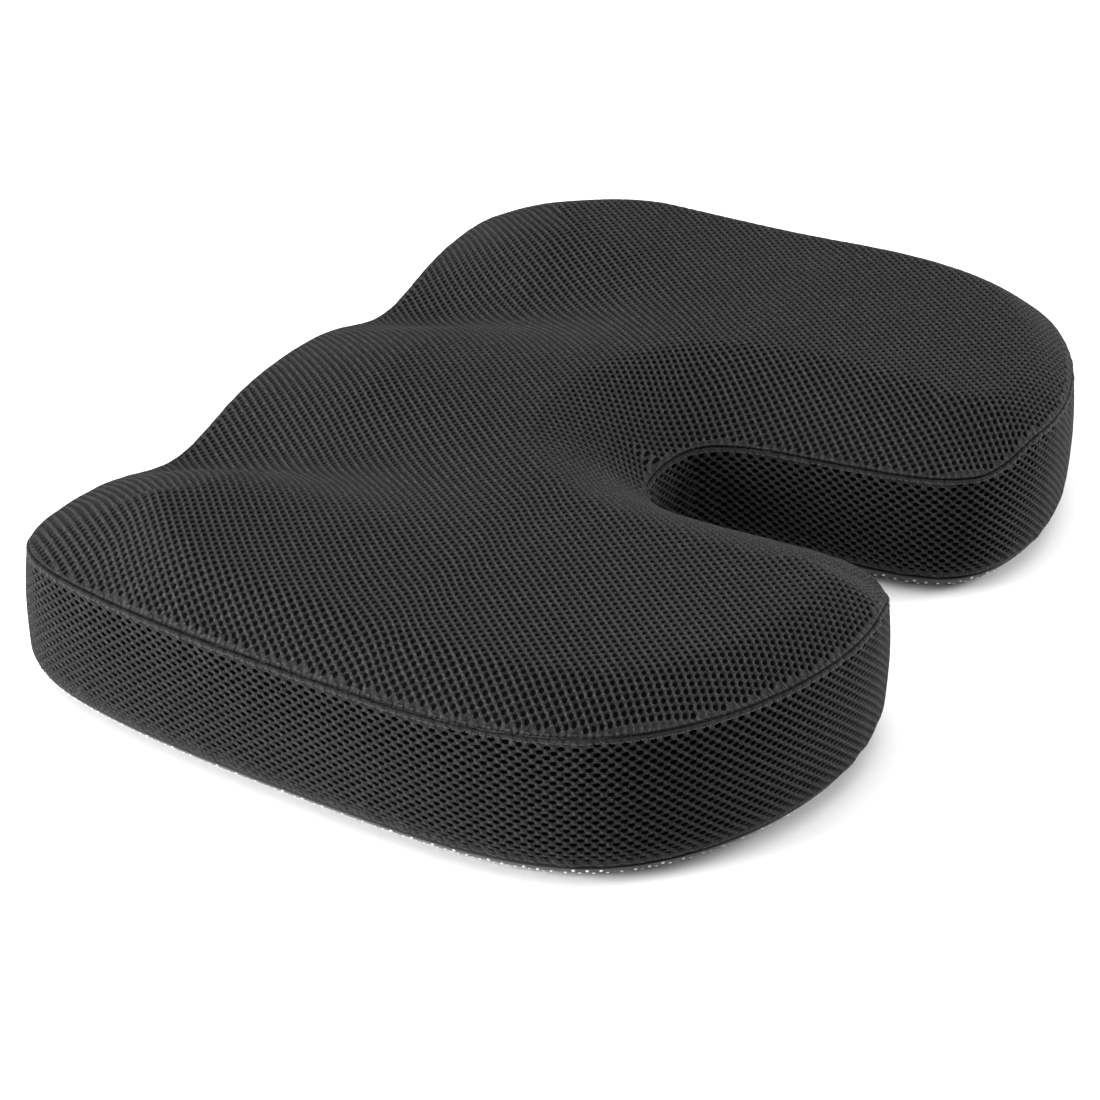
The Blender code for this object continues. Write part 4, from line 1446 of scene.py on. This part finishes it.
def foam():
    """The one-piece foam core inside the cover."""
    top = TopSurface(bpy.context.scene.cushion_cover)
    count = round(PLAN.length / 0.006)
    stations = np.linspace(0, PLAN.length, count, endpoint=False)
    edge, outward = PLAN.at(stations)
    front = (np.abs(edge[:, 0]) < FRONT_STRAIGHT / 2) & (edge[:, 1] > -0.001)
    recess = np.where(front, FOAM_ZIP_RECESS, 0)
    levels = [
        (BASE_INSET + 0.003, 0.0030),
        (0.0095, 0.0045),
        (0.0065, 0.009),
        (FOAM_ROOM + recess, FLAT_LOW),
        (FOAM_ROOM + recess, FLAT_HIGH),
        (FOAM_ROOM + recess * 0.4, seam_height(*edge.T) - 0.006),
        (0.0075, None),
        (0.013, None),
    ]
    points = []
    for inset, height in levels:
        flat = edge - outward * (inset + np.zeros(count))[:, None]
        if height is None:
            height = top.read(top.z, flat) - FOAM_ROOM - 0.0012
        points.append(np.column_stack([flat, height + np.zeros(count)]))
    rings = [list(range(k * count, (k + 1) * count)) for k in range(len(points))]
    points = np.vstack(points)
    faces = ring_faces(rings)
    for ring, upward in ((rings[0], False), (rings[-1], True)):
        places, added = fill(points[ring, :2], ring, len(points), 0.009, upward)
        heights = top.read(top.z, places) - FOAM_ROOM if upward else np.full(len(places), points[0, 2])
        points = np.vstack([points, np.column_stack([places, heights])])
        faces += added
    piece = add_piece("foam_body", points, faces, foam_finish())
    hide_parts("foam_core")


# ---------------------------------------------------------------- floor, light and camera

CAMERA_AZIMUTH = math.radians(-62.41)
CAMERA_ELEVATION = math.radians(28.87)
CAMERA_ROLL = math.radians(0.95)
CAMERA_DISTANCE = 1.1777
CAMERA_LENS = 95.59
CAMERA_AIM = Vector((-0.0492, -0.0015, 0.030))


def add_floor():
    """A round pale floor, wide enough to fill every view."""
    bpy.ops.mesh.primitive_circle_add(vertices=96, radius=6.0, fill_type="NGON", location=(0, 0, 0))
    floor = bpy.context.object
    floor.name = "floor"
    floor.data.materials.append(floor_finish())


def add_surroundings(strength):
    """Even white light from all round."""
    world = bpy.data.worlds.new("surroundings")
    bpy.context.scene.world = world
    world.use_nodes = True
    background = world.node_tree.nodes["Background"]
    background.inputs["Color"].default_value = (1, 1, 1, 1)
    background.inputs["Strength"].default_value = strength
    bpy.context.scene.view_settings.view_transform = "Standard"


def add_light(name, place, aim, size, power):
    """A round soft light, turned towards its aim."""
    lamp = bpy.data.lights.new(name, "AREA")
    lamp.shape = "DISK"
    lamp.size = size
    lamp.energy = power
    made = bpy.data.objects.new(name, lamp)
    made.location = place
    made.rotation_mode = "QUATERNION"
    made.rotation_quaternion = (Vector(aim) - Vector(place)).to_track_quat("-Z", "Y")
    bpy.context.scene.collection.objects.link(made)


def add_camera():
    """The camera that looks down on the cushion from beside its back edge."""
    level = math.cos(CAMERA_ELEVATION)
    back = Vector((math.sin(CAMERA_AZIMUTH) * level, -math.cos(CAMERA_AZIMUTH) * level,
                   math.sin(CAMERA_ELEVATION)))
    right = (-back).cross(Vector((0, 0, 1))).normalized()
    up = right.cross(-back)
    across = right * math.cos(CAMERA_ROLL) + up * math.sin(CAMERA_ROLL)
    upright = up * math.cos(CAMERA_ROLL) - right * math.sin(CAMERA_ROLL)
    data = bpy.data.cameras.new("camera")
    data.lens = CAMERA_LENS
    data.sensor_width = 36
    made = bpy.data.objects.new("camera", data)
    bpy.context.scene.collection.objects.link(made)
    turn = Matrix((across, upright, back)).transposed().to_4x4()
    made.matrix_world = Matrix.Translation(CAMERA_AIM + back * CAMERA_DISTANCE) @ turn
    bpy.context.scene.camera = made


# ---------------------------------------------------------------- operators and panel

class CUSHION_OT_stage(bpy.types.Operator):
    """Lays the floor and sets the soft light and the camera"""

    bl_idname = "cushion.stage"
    bl_label = "Floor, light and camera"

    def execute(self, context):
        stage = context.scene.cushion_stage
        add_floor()
        add_surroundings(stage.world)
        add_light("overhead", (-0.1, 0.1, 1.7), (0, 0, 0), 2.2, stage.key)
        add_light("left_side", (-1.25, 0.95, 0.5), (-0.1, 0, 0.03), 0.8, stage.left)
        add_light("back_side", (1.15, -1.2, 0.5), (0, -0.1, 0.03), 0.7, stage.right)
        add_camera()
        return {"FINISHED"}


class CUSHION_OT_foam(bpy.types.Operator):
    """Shapes the foam core inside the cover"""

    bl_idname = "cushion.foam"
    bl_label = "Foam core"

    def execute(self, context):
        foam()
        return {"FINISHED"}


class CUSHION_OT_top(bpy.types.Operator):
    """Stretches the spacer mesh of the top panel over the crown"""

    bl_idname = "cushion.top"
    bl_label = "Top panel"

    def execute(self, context):
        top_net()
        return {"FINISHED"}


class CUSHION_OT_boxing(bpy.types.Operator):
    """Runs the spacer mesh of the boxing round the sides and the cutout"""

    bl_idname = "cushion.boxing"
    bl_label = "Boxing"

    def execute(self, context):
        side_net()
        return {"FINISHED"}


class CUSHION_OT_zip_bands(bpy.types.Operator):
    """Adds the two strips of boxing above and below the zip"""

    bl_idname = "cushion.zip_bands"
    bl_label = "Zip bands"

    def execute(self, context):
        zip_nets()
        return {"FINISHED"}


class CUSHION_OT_zip_coils(bpy.types.Operator):
    """Winds the two nylon coils of the zip"""

    bl_idname = "cushion.zip_coils"
    bl_label = "Zip coils"

    def execute(self, context):
        coils()
        return {"FINISHED"}


class CUSHION_OT_zip_hardware(bpy.types.Operator):
    """Finishes the zip's tapes, stops, slider and pull"""

    bl_idname = "cushion.zip_hardware"
    bl_label = "Zip tapes and metal"

    def execute(self, context):
        zip_hardware()
        return {"FINISHED"}


class CUSHION_OT_base(bpy.types.Operator):
    """Lays the non-slip fabric under the cushion and curls it up to its seam"""

    bl_idname = "cushion.base"
    bl_label = "Base panel"

    def execute(self, context):
        base_cloth()
        return {"FINISHED"}


class CUSHION_OT_dots(bpy.types.Operator):
    """Prints the rubber dots on the base"""

    bl_idname = "cushion.dots"
    bl_label = "Grip dots"

    def execute(self, context):
        dots()
        return {"FINISHED"}


class CUSHION_OT_threads(bpy.types.Operator):
    """Sews the seams and the edges of the zip window"""

    bl_idname = "cushion.threads"
    bl_label = "Stitching"

    def execute(self, context):
        threads()
        return {"FINISHED"}


STEPS = (
    CUSHION_OT_stage, CUSHION_OT_foam, CUSHION_OT_top, CUSHION_OT_boxing, CUSHION_OT_zip_bands,
    CUSHION_OT_zip_coils, CUSHION_OT_zip_hardware, CUSHION_OT_base, CUSHION_OT_dots, CUSHION_OT_threads,
)

GROUPS = {
    "cushion_cover": CoverSizes,
    "cushion_base": BaseSizes,
    "cushion_colours": FabricColours,
    "cushion_stage": StageSizes,
}


class CUSHION_PT_looks(bpy.types.Panel):
    """Sizes, colours and steps of the cushion's looks"""

    bl_label = "Seat cushion"
    bl_idname = "CUSHION_PT_looks"
    bl_space_type = "VIEW_3D"
    bl_region_type = "UI"
    bl_category = "Cushion"

    def draw(self, context):
        for name, group in GROUPS.items():
            box = self.layout.box()
            box.label(text=name.replace("_", " ").capitalize())
            for field in group.__annotations__:
                box.prop(getattr(context.scene, name), field)
        for step in STEPS:
            self.layout.operator(step.bl_idname)


def register():
    """Adds the property groups, the operators and the panel."""
    for group in GROUPS.values():
        bpy.utils.register_class(group)
    for name, group in GROUPS.items():
        setattr(bpy.types.Scene, name, bpy.props.PointerProperty(type=group))
    for step in STEPS:
        bpy.utils.register_class(step)
    bpy.utils.register_class(CUSHION_PT_looks)


def unregister():
    """Takes out what register added."""
    bpy.utils.unregister_class(CUSHION_PT_looks)
    for step in reversed(STEPS):
        bpy.utils.unregister_class(step)
    for name in GROUPS:
        delattr(bpy.types.Scene, name)
    for group in reversed(GROUPS.values()):
        bpy.utils.unregister_class(group)


def main():
    """Builds every piece in order."""
    register()
    for step in STEPS:
        group, name = step.bl_idname.split(".")
        getattr(getattr(bpy.ops, group), name)()
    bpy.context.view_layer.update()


if __name__ == "__main__":
    main()
